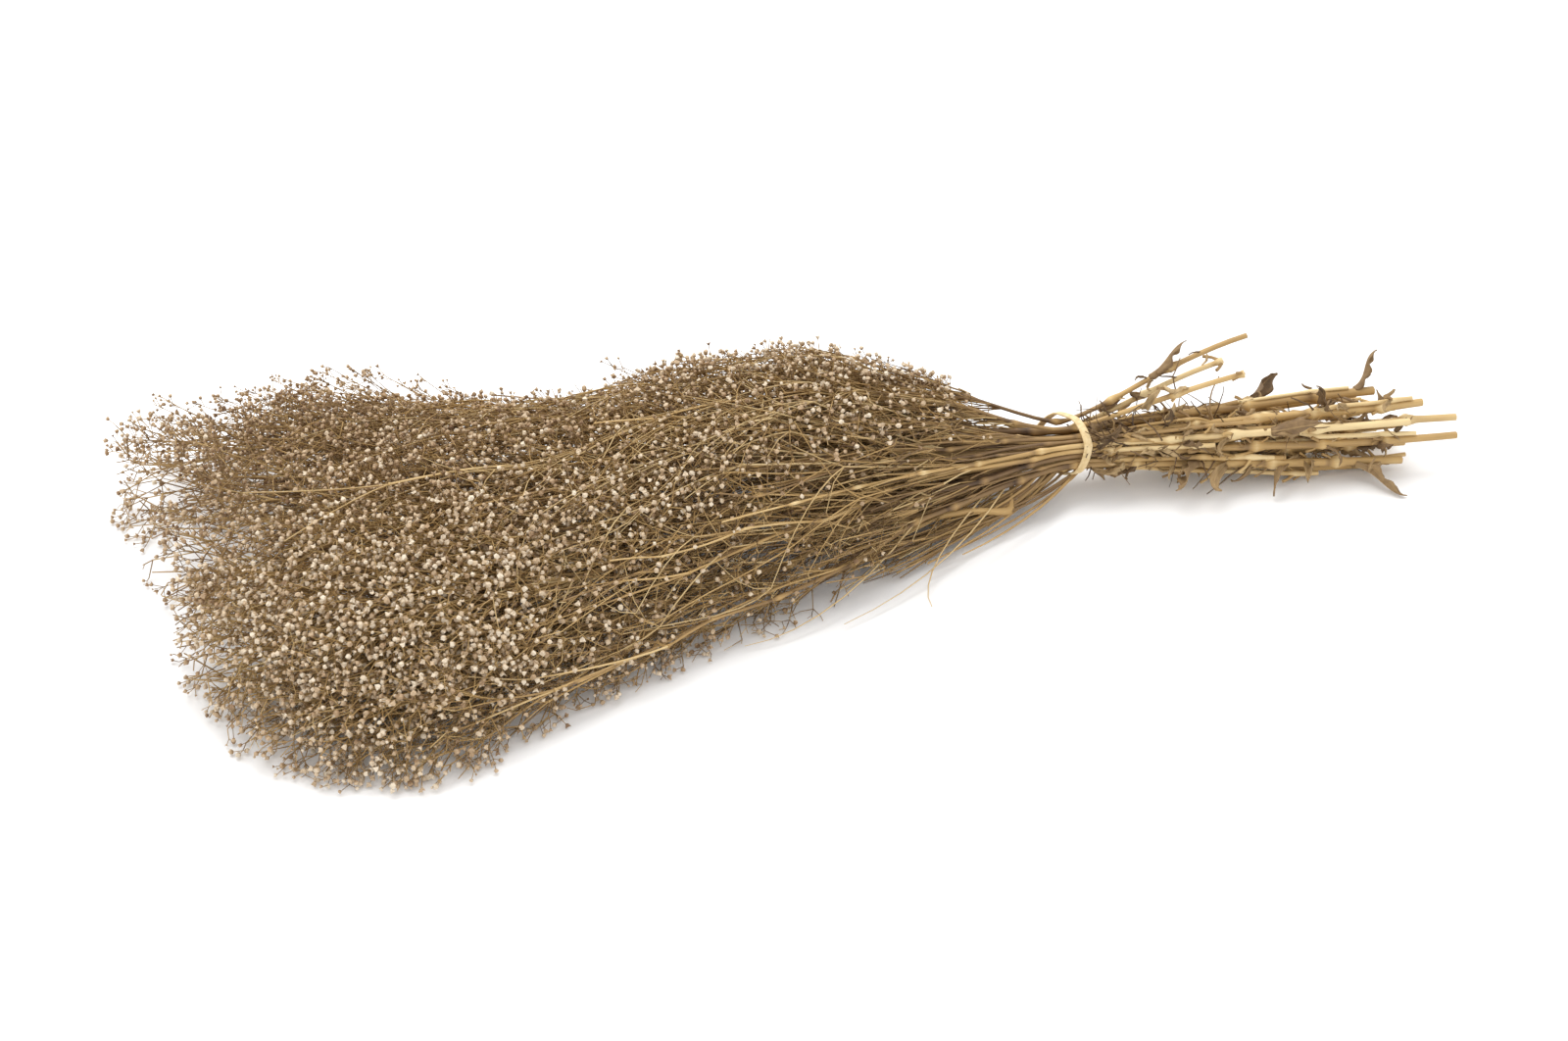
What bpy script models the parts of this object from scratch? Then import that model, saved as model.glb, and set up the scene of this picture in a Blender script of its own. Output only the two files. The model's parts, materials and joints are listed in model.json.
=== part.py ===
# Bunch of preserved gypsophila, dried, lying on its side and tied with a flat elastic band.
# Metres. The cut ends point to +X, the flower mass to -X, and +Z is up. The bunch lies on z = 0.
# Each spray is one grown piece: a jointed stem, its branches, and twigs that end in buds.
# The withered leaves on the bare stems and the band are pieces of their own.

import math
import random

import bmesh
import bpy
import numpy as np
from mathutils import Matrix, Vector
from mathutils.kdtree import KDTree

NAME = "gypsophila_bunch"
SEED = 11

# Where the band gathers the stems. They lie side by side there, one pitch apart, in the order in which
# their tips fan out: each tip's slope, seen from the neck, times FOCUS gives its place before packing.
NECK = Vector((0.132, 0.019, 0.0255))
STEM_PITCH = 0.0053
FOCUS = 0.030
MEAN_RISE = 0.12
SQUEEZE = 0.996
SQUEEZE_PASSES = 600
SETTLE_PASSES = 60

# How a stem leaves the neck towards its tip: the reach of the curve's two handles, and how much of the
# tip's sideways and upward slope the far handle keeps, so that stems bow out and droop.
FAN_LEAD = 0.12
FAN_LEAD_SLOPE = 0.02
FAN_TRAIL = 0.34
FAN_BOW = 0.8
FAN_DROOP = 0.25

# The middle of the cut ends, how far the stems spread on their way to it, and the curve's handles.
ENDS = Vector((0.312, 0.019, 0.0195))
END_SPREAD = 2.05
END_STAGGER = 0.014
TAIL_LEAD = 0.16
TAIL_TRAIL = 0.40
TAIL_FLARE = 0.25

# Stems and buds that lie on the ground are worn flat there: a stem's middle lies GROUND_SINK of its
# radius up, and a bud in the lowest layer, GROUND_BAND thick, lies BUD_SINK of its radius up.
GROUND_SINK = 0.70
BUD_SINK = 0.525
GROUND_BAND = 0.008

# Stems: thick at the cut end, thin at the tip, with swollen joints everywhere but at the neck.
STEM_RADIUS = 0.0025
STUB_RADIUS = 0.0015
STUB_THICKENING = 0.004
STEM_TIP_RADIUS = 0.0009
STEM_SIDES = 5
STEM_CLEARANCE = 0.0002
TAPER_FROM = 0.30
JOINT_SWELL = 1.4
JOINT_HALF = 0.005
JOINT_PITCH = 0.125
JOINTS_UP_TO = 0.86
FIRST_JOINT = 0.02
NECK_PLAIN = 0.020
BEND_STEPS = (-0.022, 0.0, 0.020, 0.042, 0.070)
LINE_STEP = 0.0015

# Branches: two to a joint where there is room, as wide apart as the stem's own space allows.
BRANCH_RADIUS = 0.0013
BRANCH_SIDES = 4
BRANCH_LENGTH = 0.090
BRANCH_PITCH = 0.125
BRANCH_SPREADS = (0.55, 0.45, 0.36, 0.28, 0.2, 0.14)
BRANCH_PULL_BACK = 0.35
BRANCH_SPOKES = 8
SPOKES_APART = 3

# Twigs and buds. Buds are larger than life, so that they still cover the bunch.
TWIG_RADIUS = 0.0005
TWIG_SIDES = 3
TWIG_SLANT = 0.9
TWIG_LEAST_SLANT = 0.004
LONGEST_TWIG = 0.036
WAY_CHECKS = (0.35, 0.55, 0.75, 0.9, 1.0)
BUD_RADIUS = 0.0050
BUD_SLIMNESS = 0.85
BUD_LENGTH = 2 * BUD_RADIUS * BUD_SLIMNESS
BUD_NECK = -0.48
BUD_BELLY = 0.06
BUD_POINT = 0.52
BUD_CLEARANCE = 0.0002
BUD_TRIES = 9000

# How closely the buds stand: in the core of the mass, on the ground, in the lobe on top, along the near
# edge where bare stems show, in the near lobe, and everywhere else.
BUD_SPACING = 0.0133
CORE_SPACING = 0.0225
CORE_DEPTH = 0.008
GROUND_SPACING = BUD_SPACING * 1.75
TOP_LOBE_SPACING = BUD_SPACING * 0.85
TOP_LOBE_PAST_X = -0.09
TOP_LOBE_ABOVE_Z = 0.045
BARE_EDGE_SPACING = BUD_SPACING * 1.25
BARE_EDGE_PAST_X = -0.12
BARE_EDGE_SHORT_OF_Y = -0.02
NEAR_LOBE_SPACING = BUD_SPACING * 0.92
NEAR_LOBE_SHORT_OF_Y = -0.03
NEAR_LOBE_ABOVE_Z = 0.012
OPEN_SPACING = BUD_SPACING * 1.08

# The tips of the stems: a layer on the ground, a middle layer and a top layer.
TIPS = (
    (-0.322, 0.094, 0.030), (-0.316, 0.040, 0.020), (-0.308, -0.015, 0.018), (-0.285, -0.070, 0.020),
    (-0.240, -0.118, 0.022), (-0.172, -0.126, 0.020), (-0.232, 0.122, 0.030),
    (-0.262, 0.076, 0.050), (-0.262, 0.006, 0.042), (-0.252, -0.050, 0.048), (-0.212, -0.094, 0.052),
    (-0.135, -0.090, 0.048), (-0.150, 0.086, 0.048), (-0.058, -0.066, 0.064),
    (-0.190, 0.036, 0.071), (-0.168, -0.040, 0.070), (-0.108, -0.004, 0.084), (-0.060, 0.058, 0.074),
    (-0.014, 0.058, 0.076), (-0.018, -0.002, 0.088), (-0.066, -0.040, 0.076),
)

# Three stems of the top layer broke off short past the band and stand up from the others, and two
# stems reach further than the rest. Stems are counted from 0, in the order of their tips.
BROKEN = {
    17: (0.2205, 0.0345, 0.056),
    18: (0.2310, 0.0345, 0.070),
    19: (0.2235, 0.0120, 0.062),
}
LONG_ENDS = {11: 0.3375, 15: 0.3410}

# The outline of the flower mass: at each x, the near side, the far side, the top and the underside.
# Its cross-section is a rounded arch on a flat floor.
STATION_X = (-0.341, -0.326, -0.305, -0.275, -0.242, -0.190, -0.120, -0.050, 0.000, 0.040, 0.075, 0.110)
NEAR_SIDE = (0.060, -0.005, -0.076, -0.120, -0.141, -0.150, -0.108, -0.078, -0.064, -0.048, -0.026, 0.000)
FAR_SIDE = (0.105, 0.116, 0.124, 0.138, 0.148, 0.122, 0.094, 0.090, 0.086, 0.072, 0.056, 0.042)
TOP = (0.038, 0.046, 0.054, 0.062, 0.068, 0.076, 0.086, 0.098, 0.098, 0.082, 0.064, 0.050)
UNDERSIDE = (0.000, 0.000, 0.000, 0.000, 0.000, 0.000, 0.000, 0.000, 0.000, 0.001, 0.003, 0.006)
ARCH_FLATNESS = 2.4
ARCH_SHOULDER = 0.55
FIRST_BRANCH_X = 0.098
FIRST_BUD_X = 0.080

# The band: a flat elastic loop, leaning so that its near upper side lies further to +X.
BAND_WIDTH = 0.0043
BAND_THICKNESS = 0.0011
BAND_GAP = 0.0005
BAND_STRETCH = 1.04
BAND_LEAN = math.radians(31)
BAND_LEAN_TOWARDS = Vector((0.0, -0.80, 0.595))
BAND_STEPS = 28
BAND_LEAST_COSINE = 0.3

# Withered leaves: how far along the bare stems they grow, at how many degrees round the bunch, their
# length, their width, which way along the stem they point, and how strongly they curl.
LEAF_THICKNESS = 0.0007
LEAF_GAP = 0.0003
LEAF_STEPS = 5
LEAF_LOWEST = 0.0006
LEAF_RISE = math.radians(24)
LEAF_TWIST = 0.9
LEAF_CUP = 0.28
LEAF_LEAST_HALF = 0.0006
LEAVES = (
    (0.205, -62, 0.034, 0.0075, -1, 1.15), (0.223, -35, 0.020, 0.0055, 1, 1.30),
    (0.262, -60, 0.030, 0.0070, 1, 0.80), (0.243, -88, 0.026, 0.0060, 1, 0.70),
    (0.287, -45, 0.032, 0.0085, 1, 0.60), (0.292, 62, 0.024, 0.0055, 1, 1.25),
    (0.272, 100, 0.022, 0.0050, -1, 1.30), (0.180, 82, 0.026, 0.0060, 1, 0.80),
    (0.236, 140, 0.028, 0.0060, 1, 0.90), (0.200, 176, 0.030, 0.0065, -1, 1.00),
    (0.284, 205, 0.030, 0.0065, 1, 0.90), (0.236, 12, 0.034, 0.0080, 1, 0.50),
)

STEM_COLOUR = (0.40, 0.27, 0.12)
LEAF_COLOUR = (0.16, 0.09, 0.045)
BAND_COLOUR = (0.60, 0.44, 0.22)


def clear_scene():
    for thing in list(bpy.data.objects):
        bpy.data.objects.remove(thing, do_unlink=True)


def material(name, colour, roughness):
    made = bpy.data.materials.new(name)
    made.use_nodes = True
    shader = made.node_tree.nodes["Principled BSDF"]
    shader.inputs["Base Color"].default_value = (*colour, 1.0)
    shader.inputs["Roughness"].default_value = roughness
    shader.inputs["Metallic"].default_value = 0.0
    return made


def polygon_guide(sides):
    """A closed outline of unit radius that gives a tube its number of sides."""
    curve = bpy.data.curves.new(f"outline_{sides}", "CURVE")
    curve.dimensions = "2D"
    spline = curve.splines.new("POLY")
    spline.points.add(sides - 1)
    for index, point in enumerate(spline.points):
        turn = 2 * math.pi * index / sides
        point.co = (math.cos(turn), math.sin(turn), 0.0, 1.0)
    spline.use_cyclic_u = True
    guide = bpy.data.objects.new(curve.name, curve)
    guide.hide_render = True
    guide.display_type = "WIRE"
    bpy.context.scene.collection.objects.link(guide)
    return guide


def limb_curve(points, radii, guide, tilt, collection):
    """A tube along the points, as thick at each as its radius says."""
    curve = bpy.data.curves.new("limb", "CURVE")
    curve.dimensions = "3D"
    curve.bevel_mode = "OBJECT"
    curve.bevel_object = guide
    curve.use_fill_caps = True
    spline = curve.splines.new("POLY")
    spline.points.add(len(points) - 1)
    for target, place, radius in zip(spline.points, points, radii):
        target.co = (*place, 1.0)
        target.radius = radius
        target.tilt = tilt
    limb = bpy.data.objects.new("limb", curve)
    collection.objects.link(limb)


def close_mesh(mesh):
    """Weld a mesh's doubles and point its faces outwards."""
    work = bmesh.new()
    work.from_mesh(mesh)
    bmesh.ops.remove_doubles(work, verts=work.verts, dist=1e-6)
    bmesh.ops.recalc_face_normals(work, faces=work.faces)
    work.to_mesh(mesh)
    work.free()


def curves_to_meshes(collection):
    """Turn every curve of a collection into a closed mesh object in its place."""
    graph = bpy.context.evaluated_depsgraph_get()
    for limb in list(collection.objects):
        mesh = bpy.data.meshes.new_from_object(limb.evaluated_get(graph))
        close_mesh(mesh)
        solid = bpy.data.objects.new("limb", mesh)
        solid.matrix_world = limb.matrix_world
        collection.objects.link(solid)
        bpy.data.objects.remove(limb, do_unlink=True)


def bezier(start, lead, trail, stop):
    """Points about LINE_STEP apart along one cubic curve."""
    reach = abs(float(stop[0] - start[0]))
    t = np.linspace(0.0, 1.0, 1 + round(reach / LINE_STEP))[:, None]
    a, b, c, d = (np.array(p) for p in (start, lead, trail, stop))
    return a * (1 - t) ** 3 + 3 * b * t * (1 - t) ** 2 + 3 * c * t ** 2 * (1 - t) + d * t ** 3


def push_apart(slots):
    """Move every two slots that are closer than one pitch to one pitch apart."""
    for i in range(len(slots)):
        for j in range(i):
            apart = slots[i] - slots[j]
            distance = math.hypot(*apart)
            if distance < STEM_PITCH:
                push = apart / max(distance, 1e-6) * (STEM_PITCH - distance) / 2
                slots[i] += push
                slots[j] -= push


def neck_slots():
    """Places of the stems across the neck, packed side by side and ordered as the tips fan out."""
    slots = []
    for tip in TIPS:
        reach = NECK.x - tip[0]
        slots.append([(tip[1] - NECK.y) / reach, (tip[2] - NECK.z) / reach - MEAN_RISE])
    slots = np.array(slots) * FOCUS
    for _ in range(SQUEEZE_PASSES):
        slots *= SQUEEZE
        push_apart(slots)
    for _ in range(SETTLE_PASSES):
        push_apart(slots)
    return slots - slots.mean(axis=0)


def fan_line(slot, tip):
    """Middle line of a stem from the neck out to its tip."""
    start = np.array([NECK.x, NECK.y + slot[0], NECK.z + slot[1]])
    stop = np.array(tip)
    reach = start[0] - stop[0]
    slope = (stop - start) / reach
    lead = start + reach * np.array([-FAN_LEAD, FAN_LEAD_SLOPE * slope[1], FAN_LEAD_SLOPE * slope[2]])
    trail = stop + FAN_TRAIL * reach * np.array([1.0, -FAN_BOW * slope[1], -FAN_DROOP * slope[2]])
    return bezier(start, lead, trail, stop)


def tail_line(index, slot, chance):
    """Middle line of a stem from the neck back to its cut end."""
    start = np.array([NECK.x, NECK.y + slot[0], NECK.z + slot[1]])
    if index in BROKEN:
        stop = np.array(BROKEN[index])
    else:
        spread = np.array(slot) * END_SPREAD
        stop = np.array(ENDS) + np.array([chance.uniform(-1, 1) * END_STAGGER, spread[0], spread[1]])
        stop[0] = LONG_ENDS.get(index, stop[0])
        stop[2] = max(stop[2], STEM_RADIUS * GROUND_SINK)
    reach = stop[0] - start[0]
    lead = start + np.array([TAIL_LEAD * reach, 0.0, 0.0])
    flare = TAIL_FLARE * (stop - start)
    trail = stop - np.array([TAIL_TRAIL * reach, flare[1], flare[2]])
    return bezier(start, lead, trail, stop)


def mass_limits(x):
    """Near side, far side, top and underside of the flower mass at x."""
    return [float(np.interp(x, STATION_X, side)) for side in (NEAR_SIDE, FAR_SIDE, TOP, UNDERSIDE)]


def depth_in_mass(place):
    """How far a place lies inside the flower mass, in metres, below 0 outside it."""
    x, y, z = place
    if x < STATION_X[0] or x > STATION_X[-1]:
        return -1.0
    near, far, top, under = mass_limits(x)
    half = (far - near) / 2
    across = abs(y - (near + far) / 2) / half
    if across >= 1.0:
        return -1.0
    roof = under + (top - under) * (1 - across ** ARCH_FLATNESS) ** ARCH_SHOULDER
    return min(roof - z, z - under, (1 - across) * half, x - STATION_X[0])


def bud_spacing(place, depth):
    """How far apart the buds stand: closest in the two lobes, wider where bare stems show."""
    x, y, z = place
    if depth > CORE_DEPTH:
        return CORE_SPACING
    if z < GROUND_BAND:
        return GROUND_SPACING
    if x > TOP_LOBE_PAST_X and z > TOP_LOBE_ABOVE_Z:
        return TOP_LOBE_SPACING
    if x > BARE_EDGE_PAST_X and y < BARE_EDGE_SHORT_OF_Y:
        return BARE_EDGE_SPACING
    if x < BARE_EDGE_PAST_X and y < NEAR_LOBE_SHORT_OF_Y and z > NEAR_LOBE_ABOVE_Z:
        return NEAR_LOBE_SPACING
    return OPEN_SPACING


class Cells:
    """Divides space among the stems: a place belongs to the stem whose middle line is nearest."""

    def __init__(self, lines):
        self.owner = []
        self.tree = KDTree(sum(len(line) for line in lines))
        for number, line in enumerate(lines):
            for place in line:
                self.tree.insert(place, len(self.owner))
                self.owner.append(number)
        self.tree.balance()
        ring = [(math.cos(a), math.sin(a)) for a in np.linspace(0, 2 * math.pi, 8, endpoint=False)]
        self.feelers = [Vector((c, s, 0)) for c, s in ring] + [Vector((0, c, s)) for c, s in ring]
        self.feelers += [Vector((c, 0, s)) for c, s in ring]

    def nearest(self, place):
        return self.owner[self.tree.find(place)[1]]

    def holds(self, number, place, radius):
        """Whether a ball at a place lies wholly in a stem's own space."""
        place = Vector(place)
        return all(self.nearest(place + feeler * radius) == number for feeler in self.feelers)


def clear_way(cells, number, start, stop, radius):
    """Whether a straight twig stays in its stem's own space and above the ground."""
    for part in WAY_CHECKS:
        place = Vector(start).lerp(Vector(stop), part)
        if place.z < TWIG_RADIUS * 2 or not cells.holds(number, place, radius):
            return False
    return True


def branch_ends(cells, number, line, root, length, chance):
    """Ends of the two branches at a joint, as wide apart as the stem's own space allows."""
    start = Vector(line[root])
    beyond = Vector(line[min(len(line) - 1, int(root + length / LINE_STEP))])
    along = (beyond - start).normalized()
    side = along.cross(Vector((0, 0, 1))).normalized()
    up = side.cross(along)
    found = []
    spoke_angle = 2 * math.pi / BRANCH_SPOKES
    turn = chance.uniform(0, spoke_angle)
    for spoke in range(BRANCH_SPOKES):
        angle = turn + spoke * spoke_angle
        out = side * math.cos(angle) + up * math.sin(angle)
        for spread in BRANCH_SPREADS:
            stop = start + along * length * (1 - spread * BRANCH_PULL_BACK) + out * length * spread
            if depth_in_mass(stop) > BUD_RADIUS and clear_way(cells, number, start, stop, BUD_RADIUS):
                found.append((spread, spoke, stop))
                break
    found.sort(key=lambda each: (-each[0], each[1]))
    chosen = []
    for spread, spoke, stop in found:
        turns = [abs(spoke - other) for _, other, _ in chosen]
        if all(SPOKES_APART <= steps <= BRANCH_SPOKES - SPOKES_APART for steps in turns):
            chosen.append((spread, spoke, stop))
    return [stop for _, _, stop in chosen[:2]]


def stem_stations(line, chance):
    """Points along a main stem, from its cut end to its tip, and how much it swells at each."""
    lengths = np.concatenate([[0.0], np.cumsum(np.linalg.norm(np.diff(line, axis=0), axis=1))])
    total = lengths[-1]
    neck = lengths[int(np.argmin(np.abs(line[:, 0] - NECK.x)))]
    stations = [(0.0, 1.0), (total, 1.0)]
    stations += [(neck + step, 1.0) for step in BEND_STEPS]
    place = chance.uniform(FIRST_JOINT, JOINT_PITCH)
    while place < total * JOINTS_UP_TO:
        if abs(place - neck) > NECK_PLAIN + JOINT_HALF * 1.5 and place > JOINT_HALF * 1.5:
            stations += [(place - JOINT_HALF, 1.0), (place, JOINT_SWELL), (place + JOINT_HALF, 1.0)]
        place += JOINT_PITCH * chance.uniform(0.9, 1.25)
    stations.sort()
    points = []
    for distance, _ in stations:
        points.append([float(np.interp(distance, lengths, line[:, axis])) for axis in range(3)])
    return np.array(points), [swell for _, swell in stations]


def along_path(points):
    """The straight stretches between a stem's points, finely divided."""
    parts = []
    for start, stop in zip(points, points[1:]):
        steps = max(2, round(float(np.linalg.norm(stop - start)) / LINE_STEP))
        parts.append(np.linspace(start, stop, steps, endpoint=False))
    return np.concatenate(parts + [points[-1:]])


def stem_radii(points, swells, cut_radius, others):
    """Thickness of a stem at its points, tapering to the tip and kept clear of its neighbours."""
    steps = np.linalg.norm(np.diff(points, axis=0), axis=1)
    lengths = np.concatenate([[0.0], np.cumsum(steps)])
    radii = []
    for point, swell, distance in zip(points, swells, lengths):
        part = distance / lengths[-1]
        thinning = max(0.0, (part - TAPER_FROM) / (1 - TAPER_FROM))
        radius = STEM_RADIUS + (STEM_TIP_RADIUS - STEM_RADIUS) * thinning
        radius = min(radius, cut_radius + part * STUB_THICKENING)
        room = others.find(point)[2] / 2 - STEM_CLEARANCE
        radii.append(min(radius * swell, room))
    return radii


def add_bud(points, radii, stop, heading, radius):
    """Lengthen a twig by its bud: a thin neck, a round belly and a point."""
    length = radius * 2 * BUD_SLIMNESS
    points += [stop + heading * length * part for part in (BUD_NECK, BUD_BELLY, BUD_POINT)]
    radii += [TWIG_RADIUS * 0.9, radius, 0.0]


def nearest_on(paths, place):
    """The path, the stretch of it and the point of it that lie nearest to a place."""
    best = None
    for number, path in enumerate(paths):
        for stretch in range(len(path) - 1):
            a, b = path[stretch], path[stretch + 1]
            span = b - a
            part = max(0.0, min(1.0, (place - a).dot(span) / span.length_squared))
            point = a + span * part
            gap = (place - point).length
            if best is None or gap < best[0]:
                best = (gap, number, stretch, point)
    return best


def root_for(paths, place):
    """Where a twig to a place leaves its stem or branch: back from the nearest point, for a slant."""
    gap, number, stretch, point = nearest_on(paths, place)
    path = paths[number]
    back = gap * TWIG_SLANT + TWIG_LEAST_SLANT
    while True:
        step = (point - path[stretch]).length
        if step >= back:
            return gap, point + (path[stretch] - point).normalized() * back
        if stretch == 0:
            return gap, path[0].lerp(path[1], 0.1)
        back -= step
        point = path[stretch]
        stretch -= 1


def grow_branches(lines, cells, chance):
    """For each stem, its branches as bowed three-point paths, and all paths that twigs can leave."""
    branches = []
    paths = []
    for number, line in enumerate(lines):
        joints = [i for i in range(len(line)) if line[i][0] < FIRST_BRANCH_X]
        first, last = joints[0], joints[-1]
        count = 1 + round((last - first) * LINE_STEP / BRANCH_PITCH)
        stem = [Vector(place) for place in line[first:-6:12]] + [Vector(line[-1])]
        grown = []
        for step in range(count):
            root = int(first + (last - first) * (step + 0.35) / (count + 0.6))
            length = BRANCH_LENGTH * chance.uniform(0.8, 1.1)
            for stop in branch_ends(cells, number, line, root, length, chance):
                start = Vector(line[root])
                bow = Vector((0, 0, chance.uniform(-0.002, 0.003)))
                grown.append([start, start.lerp(stop, 0.5) + bow, stop])
        branches.append(grown)
        paths.append([stem] + grown)
    return branches, paths


def grow_twigs(lines, cells, branches, paths, chance):
    """For each stem, the roots of its twigs and the places of the buds at their ends."""
    twigs = [[] for _ in lines]
    taken = [Vector(line[-1]) for line in lines] + [path[-1] for own in branches for path in own]
    for _ in range(BUD_TRIES):
        x = chance.uniform(STATION_X[0], FIRST_BUD_X)
        near, far, top, under = mass_limits(x)
        place = Vector((x, chance.uniform(near, far), chance.uniform(under, top)))
        depth = depth_in_mass(place) - BUD_RADIUS * 0.8
        if place.z < GROUND_BAND and depth_in_mass((x, place.y, GROUND_BAND)) > BUD_RADIUS:
            place.z = BUD_RADIUS * BUD_SINK
            depth = 0.0
        if depth < 0.0:
            continue
        spacing = bud_spacing(place, depth)
        if any((place - other).length < spacing for other in taken):
            continue
        number = cells.nearest(place)
        if not cells.holds(number, place, BUD_RADIUS + BUD_CLEARANCE):
            continue
        gap, root = root_for(paths[number], place)
        if gap > LONGEST_TWIG or (place - root).length < BUD_LENGTH:
            continue
        if clear_way(cells, number, root, place, TWIG_RADIUS + BUD_CLEARANCE):
            twigs[number].append((root, place))
            taken.append(place)
    return twigs


def floor_cutter(collection):
    """A slab below the ground line, to trim what lies on it flat."""
    bpy.ops.mesh.primitive_cube_add(size=1.0, location=(0.0, 0.0, -0.02))
    slab = bpy.context.object
    slab.name = "ground_slab"
    slab.scale = (1.0, 0.6, 0.04)
    slab.hide_render = True
    slab.display_type = "WIRE"
    for home in list(slab.users_collection):
        home.objects.unlink(slab)
    collection.objects.link(slab)
    return slab


def keep_largest_body(mesh):
    """Keep a mesh's largest connected body, drop loose scraps and split its faces into triangles."""
    work = bmesh.new()
    work.from_mesh(mesh)
    left = set(work.verts)
    bodies = []
    while left:
        body = {left.pop()}
        front = list(body)
        while front:
            near = [edge.other_vert(vert) for vert in front for edge in vert.link_edges]
            front = [vert for vert in set(near) if vert in left]
            left.difference_update(front)
            body.update(front)
        bodies.append(body)
    bodies.sort(key=len, reverse=True)
    scraps = [vert for body in bodies[1:] for vert in body]
    bmesh.ops.delete(work, geom=scraps, context="VERTS")
    bmesh.ops.triangulate(work, faces=work.faces)
    work.to_mesh(mesh)
    work.free()


def line_tree(lines):
    """A search tree of every point on some middle lines."""
    places = [place for line in lines for place in line]
    tree = KDTree(len(places))
    for index, place in enumerate(places):
        tree.insert(place, index)
    tree.balance()
    return tree


def add_limbs(number, points, swells, others, branches, twigs, guides, pieces):
    """The curves of one spray: its stem, its branches and its twigs, each ending in a bud."""
    chance = random.Random(SEED * 100 + number)
    cut_radius = STUB_RADIUS if number in BROKEN else STEM_RADIUS
    radii = stem_radii(points, swells, cut_radius, others)
    points = [Vector(point) for point in points]
    tip = points.pop()
    radii.pop()
    room = others.find(tip)[2] / 2 - BUD_CLEARANCE
    add_bud(points, radii, tip, (tip - points[-1]).normalized(), min(BUD_RADIUS, room))
    limb_curve(points, radii, guides[STEM_SIDES], chance.uniform(0, math.pi), pieces)
    for path in branches:
        points = path[:-1]
        radii = [BRANCH_RADIUS, BRANCH_RADIUS * 0.85]
        add_bud(points, radii, path[-1], (path[-1] - path[-2]).normalized(), BUD_RADIUS)
        limb_curve(points, radii, guides[BRANCH_SIDES], chance.uniform(0, math.pi), pieces)
    for root, place in twigs:
        points = [root]
        radii = [TWIG_RADIUS]
        add_bud(points, radii, place, (place - root).normalized(), BUD_RADIUS)
        limb_curve(points, radii, guides[TWIG_SIDES], chance.uniform(0, math.pi), pieces)


def make_spray(number, points, swells, others, branches, twigs, guides, slab, finish, home):
    """One spray: stem, branches and budded twigs, fused into one body."""
    pieces = bpy.data.collections.new("limbs")
    bpy.context.scene.collection.children.link(pieces)
    add_limbs(number, points, swells, others, branches, twigs, guides, pieces)
    curves_to_meshes(pieces)
    solids = list(pieces.objects)
    spray = solids[0]
    pieces.objects.unlink(spray)
    home.objects.link(spray)
    spray.name = f"spray_{number + 1:02d}"
    if len(solids) > 1:
        join = spray.modifiers.new("join", "BOOLEAN")
        join.operation = "UNION"
        join.operand_type = "COLLECTION"
        join.collection = pieces
        join.solver = "MANIFOLD"
    trim = spray.modifiers.new("trim", "BOOLEAN")
    trim.operation = "DIFFERENCE"
    trim.object = slab
    trim.solver = "MANIFOLD"
    graph = bpy.context.evaluated_depsgraph_get()
    mesh = bpy.data.meshes.new_from_object(spray.evaluated_get(graph))
    spray.modifiers.clear()
    spray.data = mesh
    mesh.name = spray.name
    keep_largest_body(mesh)
    for solid in solids[1:]:
        bpy.data.objects.remove(solid, do_unlink=True)
    bpy.data.collections.remove(pieces)
    mesh.materials.clear()
    mesh.materials.append(finish)
    print(f"{spray.name}: {len(mesh.polygons)} triangles, {len(branches)} branches, {len(twigs)} twigs")


def band_lean(offset):
    """How far to +X the leaning band lies, at an offset from the middle of the neck."""
    return math.tan(BAND_LEAN) * float(np.dot(offset, BAND_LEAN_TOWARDS))


def band_reach(lines, angles):
    """How far the bunch reaches from its middle at each angle, where the leaning band crosses it."""
    crossing = []
    for line in lines:
        for offset in line - np.array(NECK):
            if abs(offset[0] - band_lean(offset)) < BAND_WIDTH:
                crossing.append(offset[1:])
    crossing = np.array(crossing)
    middles = [float((crossing @ (math.cos(a), math.sin(a))).max()) for a in angles]
    return [middle + STEM_RADIUS * BAND_STRETCH for middle in middles]


def make_band(lines, finish, home):
    """The elastic band: a flat strip round the neck, given its thickness by Solidify."""
    angles = [2 * math.pi * step / BAND_STEPS for step in range(BAND_STEPS)]
    reach = [far + BAND_GAP for far in band_reach(lines, angles)]
    work = bmesh.new()
    rims = ([], [])
    for angle in angles:
        cosines = [math.cos(angle - other) for other in angles]
        rays = [far / cosine for far, cosine in zip(reach, cosines) if cosine > BAND_LEAST_COSINE]
        radius = min(rays) / math.cos(math.pi / BAND_STEPS)
        offset = Vector((0.0, math.cos(angle), math.sin(angle))) * radius
        offset.x = band_lean(offset)
        for rim, side in zip(rims, (-BAND_WIDTH / 2, BAND_WIDTH / 2)):
            rim.append(work.verts.new(NECK + offset + Vector((side, 0.0, 0.0))))
    for step in range(BAND_STEPS):
        after = (step + 1) % BAND_STEPS
        work.faces.new((rims[0][step], rims[0][after], rims[1][after], rims[1][step]))
    bmesh.ops.recalc_face_normals(work, faces=work.faces)
    mesh = bpy.data.meshes.new("band")
    work.to_mesh(mesh)
    work.free()
    middle = Vector(mesh.polygons[0].center) - NECK
    outward = mesh.polygons[0].normal.dot(middle) > 0
    band = bpy.data.objects.new("band", mesh)
    home.objects.link(band)
    wall = band.modifiers.new("wall", "SOLIDIFY")
    wall.thickness = BAND_THICKNESS
    wall.offset = 1.0 if outward else -1.0
    mesh.materials.append(finish)


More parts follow.
